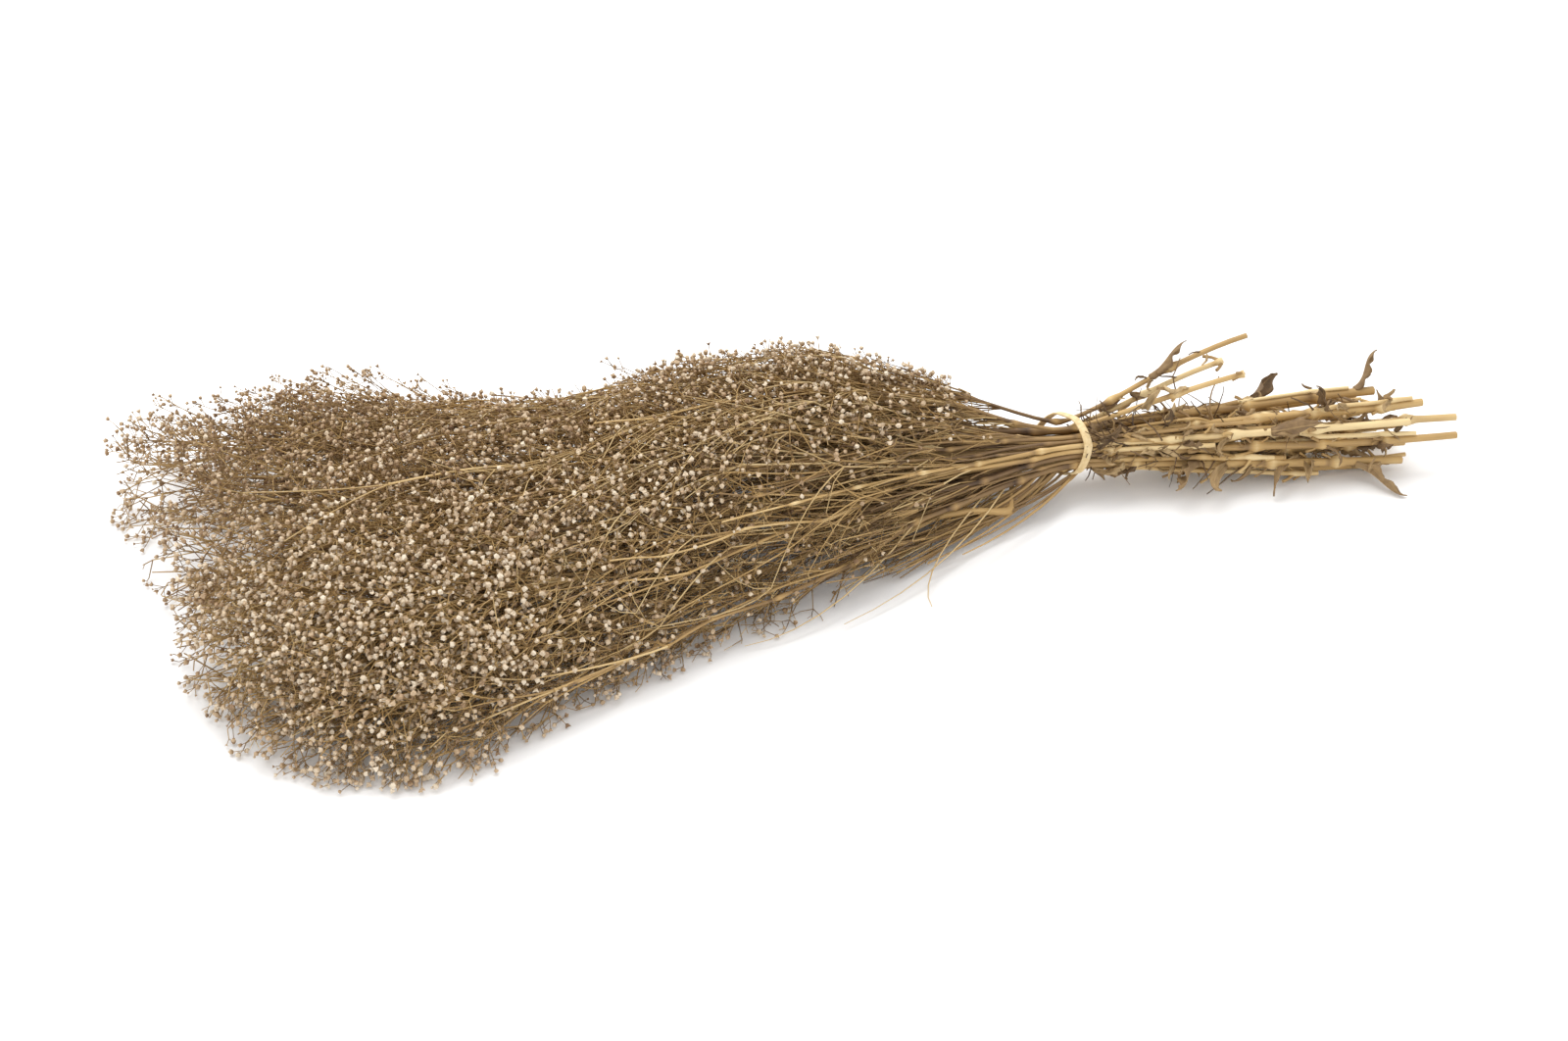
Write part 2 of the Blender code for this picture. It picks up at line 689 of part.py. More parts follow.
def host_stem(lines, x, angle):
    """The stem that lies furthest out at an angle round the bunch, and its place there."""
    out = np.array([math.cos(angle), math.sin(angle)])
    best = None
    for line in lines:
        if line[:, 0].max() < x + 0.004:
            continue
        place = line[int(np.argmin(np.abs(line[:, 0] - x)))]
        reach = (place[1:] - np.array([NECK.y, NECK.z])) @ out
        if best is None or reach > best[0]:
            best = (reach, place)
    return Vector(best[1])


def leaf_half_width(part, width):
    """Half the width of a leaf at a part of its length: narrow at its root, widest in the middle."""
    swell = math.sin(math.pi * min(1.0, 0.12 + part * 0.8)) ** 0.8
    return max(width / 2 * (0.32 + 0.9 * swell) * (1 - part ** 5), LEAF_LEAST_HALF)


def make_leaf(number, spec, lines, finish, home):
    """A narrow withered leaf: a cupped strip that leaves its stem, sweeps along it and curls."""
    x, degrees, length, width, way, curl = spec
    angle = math.radians(degrees)
    out = Vector((0.0, math.cos(angle), math.sin(angle)))
    along = Vector((way, 0.0, 0.0))
    across = out.cross(along)
    place = host_stem(lines, x, angle) + out * (STEM_RADIUS + LEAF_GAP + LEAF_THICKNESS / 2)
    twist = LEAF_TWIST if number % 2 else -LEAF_TWIST
    work = bmesh.new()
    rows = []
    for step in range(LEAF_STEPS + 1):
        part = step / LEAF_STEPS
        rise = LEAF_RISE + curl * (0.9 * math.sin(part * 2.6) - 0.8 * part * part)
        heading = along * math.cos(rise) + out * math.sin(rise)
        half = leaf_half_width(part, width)
        turn = Matrix.Rotation(twist * part, 3, heading)
        left = turn @ across * half
        lift = turn @ across.cross(heading).normalized() * half * LEAF_CUP
        rows.append([work.verts.new(co) for co in (place - left + lift, place, place + left + lift)])
        place = place + heading * (length / LEAF_STEPS)
    for vert in work.verts:
        vert.co.z = max(vert.co.z, LEAF_LOWEST)
    for low, high in zip(rows, rows[1:]):
        for side in (0, 1):
            work.faces.new((low[side], low[side + 1], high[side + 1], high[side]))
    bmesh.ops.triangulate(work, faces=work.faces)
    mesh = bpy.data.meshes.new(f"leaf_{number:02d}")
    work.to_mesh(mesh)
    work.free()
    leaf = bpy.data.objects.new(mesh.name, mesh)
    home.objects.link(leaf)
    wall = leaf.modifiers.new("wall", "SOLIDIFY")
    wall.thickness = LEAF_THICKNESS
    wall.offset = 0.0
    wall.use_even_offset = False
    mesh.materials.append(finish)


def bake_and_centre(home):
    """Apply the modifiers, then move all so that the box of the bunch is centred over the origin."""
    graph = bpy.context.evaluated_depsgraph_get()
    for thing in home.objects:
        if thing.modifiers:
            mesh = bpy.data.meshes.new_from_object(thing.evaluated_get(graph))
            mesh.name = thing.name
            thing.modifiers.clear()
            thing.data = mesh
    corners = [vert.co for thing in home.objects for vert in thing.data.vertices]
    low = Vector([min(co[axis] for co in corners) for axis in range(3)])
    high = Vector([max(co[axis] for co in corners) for axis in range(3)])
    shift = Vector((-(low.x + high.x) / 2, -(low.y + high.y) / 2, -low.z))
    for thing in home.objects:
        thing.data.transform(Matrix.Translation(shift))
    print("box", [round(v * 1000, 1) for v in (*low, *high)], "shift", [round(v * 1000, 2) for v in shift])


def main():
    clear_scene()
    home = bpy.data.collections.new(NAME)
    cutters = bpy.data.collections.new("cutters")
    bpy.context.scene.collection.children.link(home)
    bpy.context.scene.collection.children.link(cutters)
    straw = material("dried_stem", STEM_COLOUR, 0.75)
    withered = material("withered_leaf", LEAF_COLOUR, 0.8)
    elastic = material("elastic_band", BAND_COLOUR, 0.5)
    guides = {sides: polygon_guide(sides) for sides in (TWIG_SIDES, BRANCH_SIDES, STEM_SIDES)}
    slab = floor_cutter(cutters)

    slots = neck_slots()
    chance = random.Random(SEED + 1)
    fans = [fan_line(slot, tip) for slot, tip in zip(slots, TIPS)]
    tails = [tail_line(index, slot, chance) for index, slot in enumerate(slots)]
    stems = [stem_stations(np.concatenate([tail[::-1], fan[1:]]), chance) for tail, fan in zip(tails, fans)]
    lines = [along_path(points) for points, _ in stems]
    fans = [line[line[:, 0] < NECK.x] for line in lines]
    tails = [line[line[:, 0] > NECK.x] for line in lines]

    cells = Cells(fans)
    chance = random.Random(SEED)
    branches, paths = grow_branches(fans, cells, chance)
    twigs = grow_twigs(fans, cells, branches, paths, chance)
    for number, (points, swells) in enumerate(stems):
        others = line_tree(lines[:number] + lines[number + 1:])
        make_spray(number, points, swells, others, branches[number], twigs[number], guides, slab,
                   straw, home)
    make_band(lines, elastic, home)
    for number, spec in enumerate(LEAVES, start=1):
        make_leaf(number, spec, tails, withered, home)
    for guide in guides.values():
        bpy.data.objects.remove(guide, do_unlink=True)
    bake_and_centre(home)


main()
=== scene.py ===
# %% [markdown]
# A bunch of preserved gypsophila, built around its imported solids.
# The solids hold the size and the place of every stem, leaf and the band, with few and large buds.
# This script keeps those places and replaces each solid with a finer piece: stems with bark and
# joints, forks of hair-thin twigs, and thousands of buds at their true size of 2 to 3 mm.

# %% The frame
import json
import math
import random

import bmesh
import bpy
import numpy as np
from mathutils import Matrix, Vector, noise
from mathutils.kdtree import KDTree

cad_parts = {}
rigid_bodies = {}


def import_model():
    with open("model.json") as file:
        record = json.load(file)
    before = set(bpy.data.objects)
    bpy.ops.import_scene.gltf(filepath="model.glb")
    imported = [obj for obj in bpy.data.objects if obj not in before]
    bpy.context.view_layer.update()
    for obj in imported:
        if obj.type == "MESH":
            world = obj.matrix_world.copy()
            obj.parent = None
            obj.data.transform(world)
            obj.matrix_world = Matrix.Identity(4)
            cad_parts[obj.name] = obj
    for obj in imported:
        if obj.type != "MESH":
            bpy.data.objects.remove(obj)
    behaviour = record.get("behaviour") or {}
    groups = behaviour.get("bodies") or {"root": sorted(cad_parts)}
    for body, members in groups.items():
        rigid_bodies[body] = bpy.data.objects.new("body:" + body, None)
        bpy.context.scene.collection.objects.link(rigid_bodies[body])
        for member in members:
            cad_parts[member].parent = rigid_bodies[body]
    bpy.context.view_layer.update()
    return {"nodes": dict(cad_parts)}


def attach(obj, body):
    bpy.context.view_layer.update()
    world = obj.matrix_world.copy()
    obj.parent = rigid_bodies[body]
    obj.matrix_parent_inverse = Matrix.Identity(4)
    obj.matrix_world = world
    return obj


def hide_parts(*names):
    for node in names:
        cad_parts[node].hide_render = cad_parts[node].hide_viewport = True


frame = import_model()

# %% [markdown]
# The camera comes first, because everything is judged through it. The bunch was photographed from
# the side and from above, a little from the left, with a long lens. It could be aimed by eye, but
# an elevation, an azimuth and a distance are easier to reason about and to change one at a time.

# %% The camera
VIEW_ELEVATION = math.radians(36)
VIEW_AZIMUTH = math.radians(-11)
VIEW_DISTANCE = 1.05
VIEW_TARGET = Vector((-0.0214, -0.024, 0.030))
LENS_MM = 50
SENSOR_MM = 36


def make_camera():
    level = math.cos(VIEW_ELEVATION)
    towards_camera = Vector((math.sin(VIEW_AZIMUTH) * level, -math.cos(VIEW_AZIMUTH) * level,
                             math.sin(VIEW_ELEVATION)))
    data = bpy.data.cameras.new("camera")
    data.lens = LENS_MM
    data.sensor_width = SENSOR_MM
    camera = bpy.data.objects.new("camera", data)
    camera.location = VIEW_TARGET + towards_camera * VIEW_DISTANCE
    camera.rotation_euler = towards_camera.to_track_quat("Z", "Y").to_euler()
    bpy.context.scene.collection.objects.link(camera)
    bpy.context.scene.camera = camera
    return camera


camera = make_camera()
print("camera at", [round(v, 3) for v in camera.location])

# %% [markdown]
# Materials are node trees. One small function adds a node with its settings, its values and its
# links, so that a tree reads as a list of what it mixes. Colours are written as the hex values that
# an eye-dropper would give, and one function turns them into the linear values that shading needs.

# %% Helpers for node trees and colours
def add_node(tree, kind, inputs=None, **settings):
    """Add a node; inputs maps a socket's name or number to a value or to the socket it reads."""
    node = tree.nodes.new(kind)
    for name, value in settings.items():
        setattr(node, name, value)
    for key, value in (inputs or {}).items():
        if isinstance(value, bpy.types.NodeSocket):
            tree.links.new(value, node.inputs[key])
        else:
            node.inputs[key].default_value = value
    return node


def linear(code):
    """An sRGB hex colour as linear red, green, blue and alpha."""
    parts = [int(code[i:i + 2], 16) / 255 for i in (1, 3, 5)]
    return tuple(v / 12.92 if v <= 0.04045 else ((v + 0.055) / 1.055) ** 2.4 for v in parts) + (1.0,)


def colour_ramp(tree, factor, stops):
    """A colour ramp over (position, hex colour) stops."""
    node = add_node(tree, "ShaderNodeValToRGB", {"Fac": factor})
    ramp = node.color_ramp
    while len(ramp.elements) < len(stops):
        ramp.elements.new(1.0)
    for element, (position, code) in zip(ramp.elements, stops):
        element.position = position
        element.color = linear(code)
    return node.outputs["Color"]


def new_material(name):
    """An empty node tree with a Principled shader, and that shader."""
    made = bpy.data.materials.new(name)
    made.use_nodes = True
    return made, made.node_tree, made.node_tree.nodes["Principled BSDF"]


def repeats(millimetres):
    """The scale of a pattern from its real size: how many of them fit in a metre."""
    return 1000 / millimetres


print("middle grey as a linear value:", round(linear("#808080")[0], 3))

# %% [markdown]
# Dried gypsophila stem is a hollow, woody stalk. Its skin is straw to golden brown and matt, so the
# roughness is high and the IOR is that of wood. It has fine lengthwise fibres, drawn 0.8 mm wide so
# that they show, and darker weathered stretches a few centimetres long. An image could not follow
# every twig. The pattern instead reads two attributes that the tubes carry: how far along the stem
# a point lies, and where it lies round the stem. Tone says how brown or golden the part is.

# %% Material: dried stalk
FIBRES_ACROSS_RADIUS = 2.6
FIBRE_LENGTH_MM = 18.18
WEATHERED_LENGTH_MM = 26.3
FIBRE_SHARE = 0.30
WEATHERED_SHARE = 0.34
FIBRE_RELIEF = 0.0003


def dried_stalk():
    made, tree, shader = new_material("dried_stalk")
    tone = add_node(tree, "ShaderNodeAttribute", attribute_name="tone").outputs["Fac"]
    along = add_node(tree, "ShaderNodeAttribute", attribute_name="along").outputs["Fac"]
    section = add_node(tree, "ShaderNodeAttribute", attribute_name="section").outputs["Vector"]
    flat = add_node(tree, "ShaderNodeVectorMath", {
        0: section, 1: (FIBRES_ACROSS_RADIUS, FIBRES_ACROSS_RADIUS, 0.0)}, operation="MULTIPLY")
    lengthwise = add_node(tree, "ShaderNodeCombineXYZ", {"Z": along})
    fibre_place = add_node(tree, "ShaderNodeVectorMath", {
        0: lengthwise.outputs[0], 1: (0.0, 0.0, repeats(FIBRE_LENGTH_MM))}, operation="MULTIPLY")
    fibre_at = add_node(tree, "ShaderNodeVectorMath", {0: flat.outputs[0], 1: fibre_place.outputs[0]},
                        operation="ADD")
    fibres = add_node(tree, "ShaderNodeTexNoise", {"Vector": fibre_at.outputs[0], "Scale": 1.0,
                                                   "Detail": 3.0, "Roughness": 0.6})
    patches = add_node(tree, "ShaderNodeTexNoise", {
        "Vector": add_node(tree, "ShaderNodeTexCoord").outputs["Object"],
        "Scale": repeats(WEATHERED_LENGTH_MM), "Detail": 2.0})
    shade = add_node(tree, "ShaderNodeMath", {
        0: fibres.outputs["Fac"], 1: FIBRE_SHARE, 2: tone}, operation="MULTIPLY_ADD")
    weathered = add_node(tree, "ShaderNodeMath", {
        0: patches.outputs["Fac"], 1: WEATHERED_SHARE, 2: shade.outputs[0]}, operation="MULTIPLY_ADD")
    level = add_node(tree, "ShaderNodeMath", {
        0: weathered.outputs[0], 1: (FIBRE_SHARE + WEATHERED_SHARE) / 2}, operation="SUBTRACT")
    colour = colour_ramp(tree, level.outputs[0], (
        (0.00, "#3F2E20"), (0.22, "#6A5238"), (0.45, "#94764D"), (0.68, "#BB9962"), (1.00, "#DFC796")))
    tree.links.new(colour, shader.inputs["Base Color"])
    bump = add_node(tree, "ShaderNodeBump", {
        "Height": fibres.outputs["Fac"], "Strength": 0.35, "Distance": FIBRE_RELIEF})
    tree.links.new(bump.outputs["Normal"], shader.inputs["Normal"])
    shader.inputs["Roughness"].default_value = 0.62
    shader.inputs["IOR"].default_value = 1.45
    return made


STALK = dried_stalk()
print("finish:", STALK.name)

# %% [markdown]
# A gypsophila bud is a ball of papery petals in a small cup of sepals. Preserved, the petals turn
# beige and the cup stays brown. Cup and petals could be two materials, but then each of the buds
# would need its faces sorted. One material reads two attributes instead: petal says how far up the
# bud a point lies, and tone how bleached the whole bud is. The dry paper skin is fully matt, with a
# little mottling about 0.7 mm across.

# %% Material: papery bud
MOTTLE_MM = 0.7143
MOTTLE_SHARE = 0.30
CUP_TO_PETAL = (0.22, 0.55)


def papery_bud():
    made, tree, shader = new_material("papery_bud")
    tone = add_node(tree, "ShaderNodeAttribute", attribute_name="tone").outputs["Fac"]
    petal = add_node(tree, "ShaderNodeAttribute", attribute_name="petal").outputs["Fac"]
    mottle = add_node(tree, "ShaderNodeTexNoise", {
        "Vector": add_node(tree, "ShaderNodeTexCoord").outputs["Object"],
        "Scale": repeats(MOTTLE_MM), "Detail": 2.0})
    spread = add_node(tree, "ShaderNodeMath", {
        0: mottle.outputs["Fac"], 1: MOTTLE_SHARE, 2: -MOTTLE_SHARE / 2}, operation="MULTIPLY_ADD")
    level = add_node(tree, "ShaderNodeMath", {0: tone, 1: spread.outputs[0]}, operation="ADD")
    petals = colour_ramp(tree, level.outputs[0], (
        (0.00, "#7E634A"), (0.30, "#A88D6E"), (0.60, "#C2AB8D"), (1.00, "#DACCB6")))
    cup = colour_ramp(tree, level.outputs[0], (
        (0.00, "#654C36"), (0.50, "#977959"), (1.00, "#BCA484")))
    edge = add_node(tree, "ShaderNodeMapRange", {
        "Value": petal, "From Min": CUP_TO_PETAL[0], "From Max": CUP_TO_PETAL[1]})
    mixed = add_node(tree, "ShaderNodeMix", {0: edge.outputs["Result"], 6: cup, 7: petals},
                     data_type="RGBA")
    tree.links.new(mixed.outputs[2], shader.inputs["Base Color"])
    shader.inputs["Roughness"].default_value = 0.85
    shader.inputs["IOR"].default_value = 1.40
    return made


BUD_PAPER = papery_bud()
print("finish:", BUD_PAPER.name)

# %% [markdown]
# Every stem runs in one smooth curve from its cut end, through the band, to its tip in the flower
# mass. The solids were made from these same curves: the stems are packed side by side at the neck
# in the order in which their tips fan out, so that none has to cross another. Reading the curves
# back from the solids' triangles would be coarse, so the rule and its few sizes are repeated here.

# %% The order of the stems at the neck
SEED = 11
NECK = Vector((0.132, 0.019, 0.0255))
STEM_PITCH = 0.0053
FOCUS = 0.030
MEAN_RISE = 0.12
PACKING = (600, 0.996)
SETTLING = 60
TIPS = (
    (-0.322, 0.094, 0.030), (-0.316, 0.040, 0.020), (-0.308, -0.015, 0.018), (-0.285, -0.070, 0.020),
    (-0.240, -0.118, 0.022), (-0.172, -0.126, 0.020), (-0.232, 0.122, 0.030),
    (-0.262, 0.076, 0.050), (-0.262, 0.006, 0.042), (-0.252, -0.050, 0.048), (-0.212, -0.094, 0.052),
    (-0.135, -0.090, 0.048), (-0.150, 0.086, 0.048), (-0.058, -0.066, 0.064),
    (-0.190, 0.036, 0.071), (-0.168, -0.040, 0.070), (-0.108, -0.004, 0.084), (-0.060, 0.058, 0.074),
    (-0.014, 0.058, 0.076), (-0.018, -0.002, 0.088), (-0.066, -0.040, 0.076),
)


def push_apart(slots):
    """Move every two slots that are closer than one pitch to one pitch apart."""
    for i in range(len(slots)):
        for j in range(i):
            apart = slots[i] - slots[j]
            distance = math.hypot(*apart)
            if distance < STEM_PITCH:
                push = apart / max(distance, 1e-6) * (STEM_PITCH - distance) / 2
                slots[i] += push
                slots[j] -= push


def neck_slots():
    """Places of the stems across the neck, packed side by side and ordered as the tips fan out."""
    slots = []
    for tip in TIPS:
        reach = NECK.x - tip[0]
        slots.append([(tip[1] - NECK.y) / reach, (tip[2] - NECK.z) / reach - MEAN_RISE])
    slots = np.array(slots) * FOCUS
    rounds, squeeze = PACKING
    for _ in range(rounds):
        slots *= squeeze
        push_apart(slots)
    for _ in range(SETTLING):
        push_apart(slots)
    return slots - slots.mean(axis=0)


slots = neck_slots()
print("stems at the neck reach", [round(float(v) * 1000, 1) for v in np.abs(slots).max(axis=0)], "mm out")

# %% [markdown]
# A stem's line is two curves that meet at the neck: a fan out to the tip, and a tail back to the cut
# end. A curve with two handles is enough for each. Three stems are broken off short and stand up at
# the back, and two are longer than the rest, as in the photograph.

# %% The stems' middle lines
ENDS = Vector((0.312, 0.019, 0.0195))
END_SPREAD = 2.05
END_STAGGER = 0.014
LOWEST_STEM = 0.00175
LINE_STEP = 0.0015
BROKEN = {
    17: (0.2205, 0.0345, 0.056),
    18: (0.2310, 0.0345, 0.070),
    19: (0.2235, 0.0120, 0.062),
}
LONG_ENDS = {11: 0.3375, 15: 0.3410}
FAN_LEAD = np.array((-0.12, 0.02, 0.02))
FAN_TRAIL = np.array((1.0, -0.8, -0.25))
FAN_TRAIL_REACH = 0.34
TAIL_LEAD_REACH = 0.16
TAIL_TRAIL_REACH = 0.40
TAIL_FLARE = 0.25


def bezier(start, lead, trail, stop):
    """Points about LINE_STEP apart along one cubic curve."""
    reach = abs(float(stop[0] - start[0]))
    t = np.linspace(0.0, 1.0, 1 + round(reach / LINE_STEP))[:, None]
    a, b, c, d = (np.array(p) for p in (start, lead, trail, stop))
    return a * (1 - t) ** 3 + 3 * b * t * (1 - t) ** 2 + 3 * c * t ** 2 * (1 - t) + d * t ** 3


def fan_line(slot, tip):
    """Middle line of a stem from the neck out to its tip."""
    start = np.array([NECK.x, NECK.y + slot[0], NECK.z + slot[1]])
    stop = np.array(tip)
    reach = start[0] - stop[0]
    slope = (stop - start) / reach
    slope[0] = 1.0
    lead = start + reach * (FAN_LEAD * slope)
    trail = stop + FAN_TRAIL_REACH * reach * (FAN_TRAIL * slope)
    return bezier(start, lead, trail, stop)


def tail_line(index, slot, chance):
    """Middle line of a stem from the neck back to its cut end."""
    start = np.array([NECK.x, NECK.y + slot[0], NECK.z + slot[1]])
    if index in BROKEN:
        stop = np.array(BROKEN[index])
    else:
        spread = np.array(slot) * END_SPREAD
        stop = np.array(ENDS) + np.array([chance.uniform(-1, 1) * END_STAGGER, spread[0], spread[1]])
        stop[0] = LONG_ENDS.get(index, stop[0])
        stop[2] = max(stop[2], LOWEST_STEM)
    reach = stop[0] - start[0]
    lead = start + np.array([TAIL_LEAD_REACH * reach, 0.0, 0.0])
    flare = TAIL_FLARE * (stop - start)
    trail = stop - np.array([TAIL_TRAIL_REACH * reach, flare[1], flare[2]])
    return bezier(start, lead, trail, stop)


def distances_along(line):
    """How far along a line each of its points lies."""
    return np.concatenate([[0.0], np.cumsum(np.linalg.norm(np.diff(line, axis=0), axis=1))])


JOINT_PITCH = 0.125
JOINT_UNEVEN = (0.9, 1.25)
NEAREST_CUT = 0.02
LEAST_STUB = 0.0075
JOINTED_SHARE = 0.86
NECK_PLAIN = 0.0275


def stem_joints(line, chance):
    """How far from the cut end a stem's swollen joints lie."""
    along = distances_along(line)
    neck = along[int(np.argmin(np.abs(line[:, 0] - NECK.x)))]
    joints = []
    place = chance.uniform(NEAREST_CUT, JOINT_PITCH)
    while place < along[-1] * JOINTED_SHARE:
        if abs(place - neck) > NECK_PLAIN and place > LEAST_STUB:
            joints.append(place)
        place += JOINT_PITCH * chance.uniform(*JOINT_UNEVEN)
    return joints


chance = random.Random(SEED + 1)
FANS = [fan_line(slot, tip) for slot, tip in zip(slots, TIPS)]
TAILS = [tail_line(index, slot, chance) for index, slot in enumerate(slots)]
STEMS = [np.concatenate([tail[::-1], fan[1:]]) for tail, fan in zip(TAILS, FANS)]
JOINTS = [stem_joints(line, chance) for line in STEMS]
print(len(STEMS), "stems, large joints on each:", [len(joints) for joints in JOINTS])

# %% [markdown]
# The solids' box was centred over the origin after they were made, which moved them a little. The
# longest stem shows how far: its solid's cut end is compared with where its line starts.

# %% How far the solids were moved
LONGEST = 15
CUT_FACE_DEPTH = 0.0008


def measured_shift():
    solid = frame["nodes"][f"spray_{LONGEST + 1:02d}"]
    places = np.unique(np.round([tuple(vert.co) for vert in solid.data.vertices], 6), axis=0)
    cut_end = places[places[:, 0] > places[:, 0].max() - CUT_FACE_DEPTH]
    return Vector(cut_end.mean(axis=0)) - Vector(STEMS[LONGEST][0])


SHIFT = measured_shift()
print("solids moved by", [round(v * 1000, 2) for v in SHIFT], "mm")

# %% [markdown]
# Paths become tubes in Geometry Nodes. A path is a row of mesh vertices joined by edges; each
# vertex carries its thickness, its order (0 stem, 1 branch, 2 twig), its tone and how far along its
# path it lies. Modelling tubes by hand would need the same ring of vertices thousands of times; the
# Curve to Mesh node does it from one profile. The profile's own points are stored as the section
# attribute, which the stalk material reads to lay its fibres lengthwise.

# %% Geometry Nodes: tubes from paths
def new_group(name, sockets):
    """A node group that a modifier can run, with its named sockets and its two end nodes."""
    tree = bpy.data.node_groups.new(name, "GeometryNodeTree")
    tree.is_modifier = True
    for title, kind in sockets:
        tree.interface.new_socket(name=title, in_out="INPUT", socket_type=kind)
    tree.interface.new_socket(name="Geometry", in_out="OUTPUT", socket_type="NodeSocketGeometry")
    return tree, tree.nodes.new("NodeGroupInput"), tree.nodes.new("NodeGroupOutput")


def tubes_from_paths():
    tree, source, result = new_group("tubes_from_paths", (
        ("Paths", "NodeSocketGeometry"), ("Stem sides", "NodeSocketInt"),
        ("Branch sides", "NodeSocketInt"), ("Twig sides", "NodeSocketInt"),
        ("Finish", "NodeSocketMaterial")))
    order = add_node(tree, "GeometryNodeInputNamedAttribute", {"Name": "order"}, data_type="INT")
    thickness = add_node(tree, "GeometryNodeInputNamedAttribute", {"Name": "thickness"}, data_type="FLOAT")
    joined = add_node(tree, "GeometryNodeJoinGeometry")
    for rank, sides in enumerate(("Stem sides", "Branch sides", "Twig sides")):
        same = add_node(tree, "FunctionNodeCompare", {2: order.outputs["Attribute"], 3: rank},
                        data_type="INT", operation="EQUAL")
        chosen = add_node(tree, "GeometryNodeSeparateGeometry", {
            "Geometry": source.outputs["Paths"], "Selection": same.outputs["Result"]}, domain="POINT")
        curves = add_node(tree, "GeometryNodeMeshToCurve", {"Mesh": chosen.outputs["Selection"]})
        ring = add_node(tree, "GeometryNodeCurvePrimitiveCircle", {
            "Resolution": source.outputs[sides], "Radius": 1.0})
        profile = add_node(tree, "GeometryNodeStoreNamedAttribute", {
            "Geometry": ring.outputs["Curve"], "Name": "section",
            "Value": add_node(tree, "GeometryNodeInputPosition").outputs["Position"]},
            data_type="FLOAT_VECTOR", domain="POINT")
        tubes = add_node(tree, "GeometryNodeCurveToMesh", {
            "Curve": curves.outputs["Curve"], "Profile Curve": profile.outputs["Geometry"],
            "Scale": thickness.outputs["Attribute"], "Fill Caps": True})
        tree.links.new(tubes.outputs["Mesh"], joined.inputs["Geometry"])
    smooth = add_node(tree, "GeometryNodeSetShadeSmooth", {"Geometry": joined.outputs["Geometry"]})
    real = add_node(tree, "GeometryNodeRealizeInstances", {"Geometry": smooth.outputs["Geometry"]})
    painted = add_node(tree, "GeometryNodeSetMaterial", {
        "Geometry": real.outputs["Geometry"], "Material": source.outputs["Finish"]})
    tree.links.new(painted.outputs["Geometry"], result.inputs["Geometry"])
    return tree


TUBES = tubes_from_paths()
print("node group:", TUBES.name)

# %% [markdown]
# A skeleton gathers all paths of one spray with their attributes and becomes a mesh of edges only.
# The node group runs on it through a modifier, whose inputs are set by their sockets' identifiers.
# The result is read back as a plain mesh, because the export knows nothing of live modifiers.

# %% Skeletons, and how they are grown
def grown_mesh(name, start_mesh, tree, inputs):
    """Run a node group on a mesh and return what it makes as a plain mesh, moved onto the solids."""
    holder = bpy.data.objects.new(name, start_mesh)
    bpy.context.scene.collection.objects.link(holder)
    modifier = holder.modifiers.new(tree.name, "NODES")
    modifier.node_group = tree
    sockets = {item.name: item.identifier for item in tree.interface.items_tree if item.in_out == "INPUT"}
    for title, value in inputs.items():
        modifier[sockets[title]] = value
    graph = bpy.context.evaluated_depsgraph_get()
    mesh = bpy.data.meshes.new_from_object(holder.evaluated_get(graph))
    mesh.name = name
    mesh.transform(Matrix.Translation(SHIFT))
    bpy.data.objects.remove(holder, do_unlink=True)
    bpy.data.meshes.remove(start_mesh)
    return mesh


def set_attribute(mesh, name, kind, values):
    """Store one value for each vertex of a mesh."""
    layer = mesh.attributes.new(name, kind, "POINT")
    key = "vector" if kind == "FLOAT_VECTOR" else "value"
    layer.data.foreach_set(key, np.array(values).ravel())


class Skeleton:
    """Paths that become tubes, each point with its thickness and what the stalk material reads."""

    def __init__(self):
        self.places = []
        self.links = []
        self.thickness = []
        self.order = []
        self.tone = []
        self.along = []

    def add(self, places, thickness, order, tone):
        first = len(self.places)
        self.links += [(first + step, first + step + 1) for step in range(len(places) - 1)]
        self.places += [tuple(place) for place in places]
        self.thickness += list(thickness)
        self.order += [order] * len(places)
        self.tone += list(tone) if hasattr(tone, "__len__") else [tone] * len(places)
        self.along += list(distances_along(np.array(places)))

    def mesh(self, name):
        mesh = bpy.data.meshes.new(name)
        mesh.from_pydata(self.places, self.links, [])
        set_attribute(mesh, "thickness", "FLOAT", self.thickness)
        set_attribute(mesh, "order", "INT", self.order)
        set_attribute(mesh, "tone", "FLOAT", self.tone)
        set_attribute(mesh, "along", "FLOAT", self.along)
        return mesh


SKELETONS = [Skeleton() for _ in STEMS]
print("skeletons:", len(SKELETONS))

# %% [markdown]
# A gypsophila stalk is not one smooth curve. It runs straight from joint to joint, about 36 mm, and
# bends a little at each. So small joints are set between the large ones of the solids, and the line
# is shifted sideways at each joint by up to 1 mm, or 3 mm in the mass. Under the band nothing moves.
# Two of the broken stems end in a joint, which gives them the knob that they have at the cut.

# %% Small joints and bends
SMALL_JOINT_PITCH = 0.036
JOINT_STRAY = 0.18
LARGE_SWELL = 0.62
SMALL_SWELL = (0.40, 0.90)
BEND_IN_MASS = 0.0034
BEND_BARE = 0.0010
STILL_AT_NECK = (0.020, 0.070)
KNOBBED = (17, 19)
KNOB = (0.0012, 0.55)


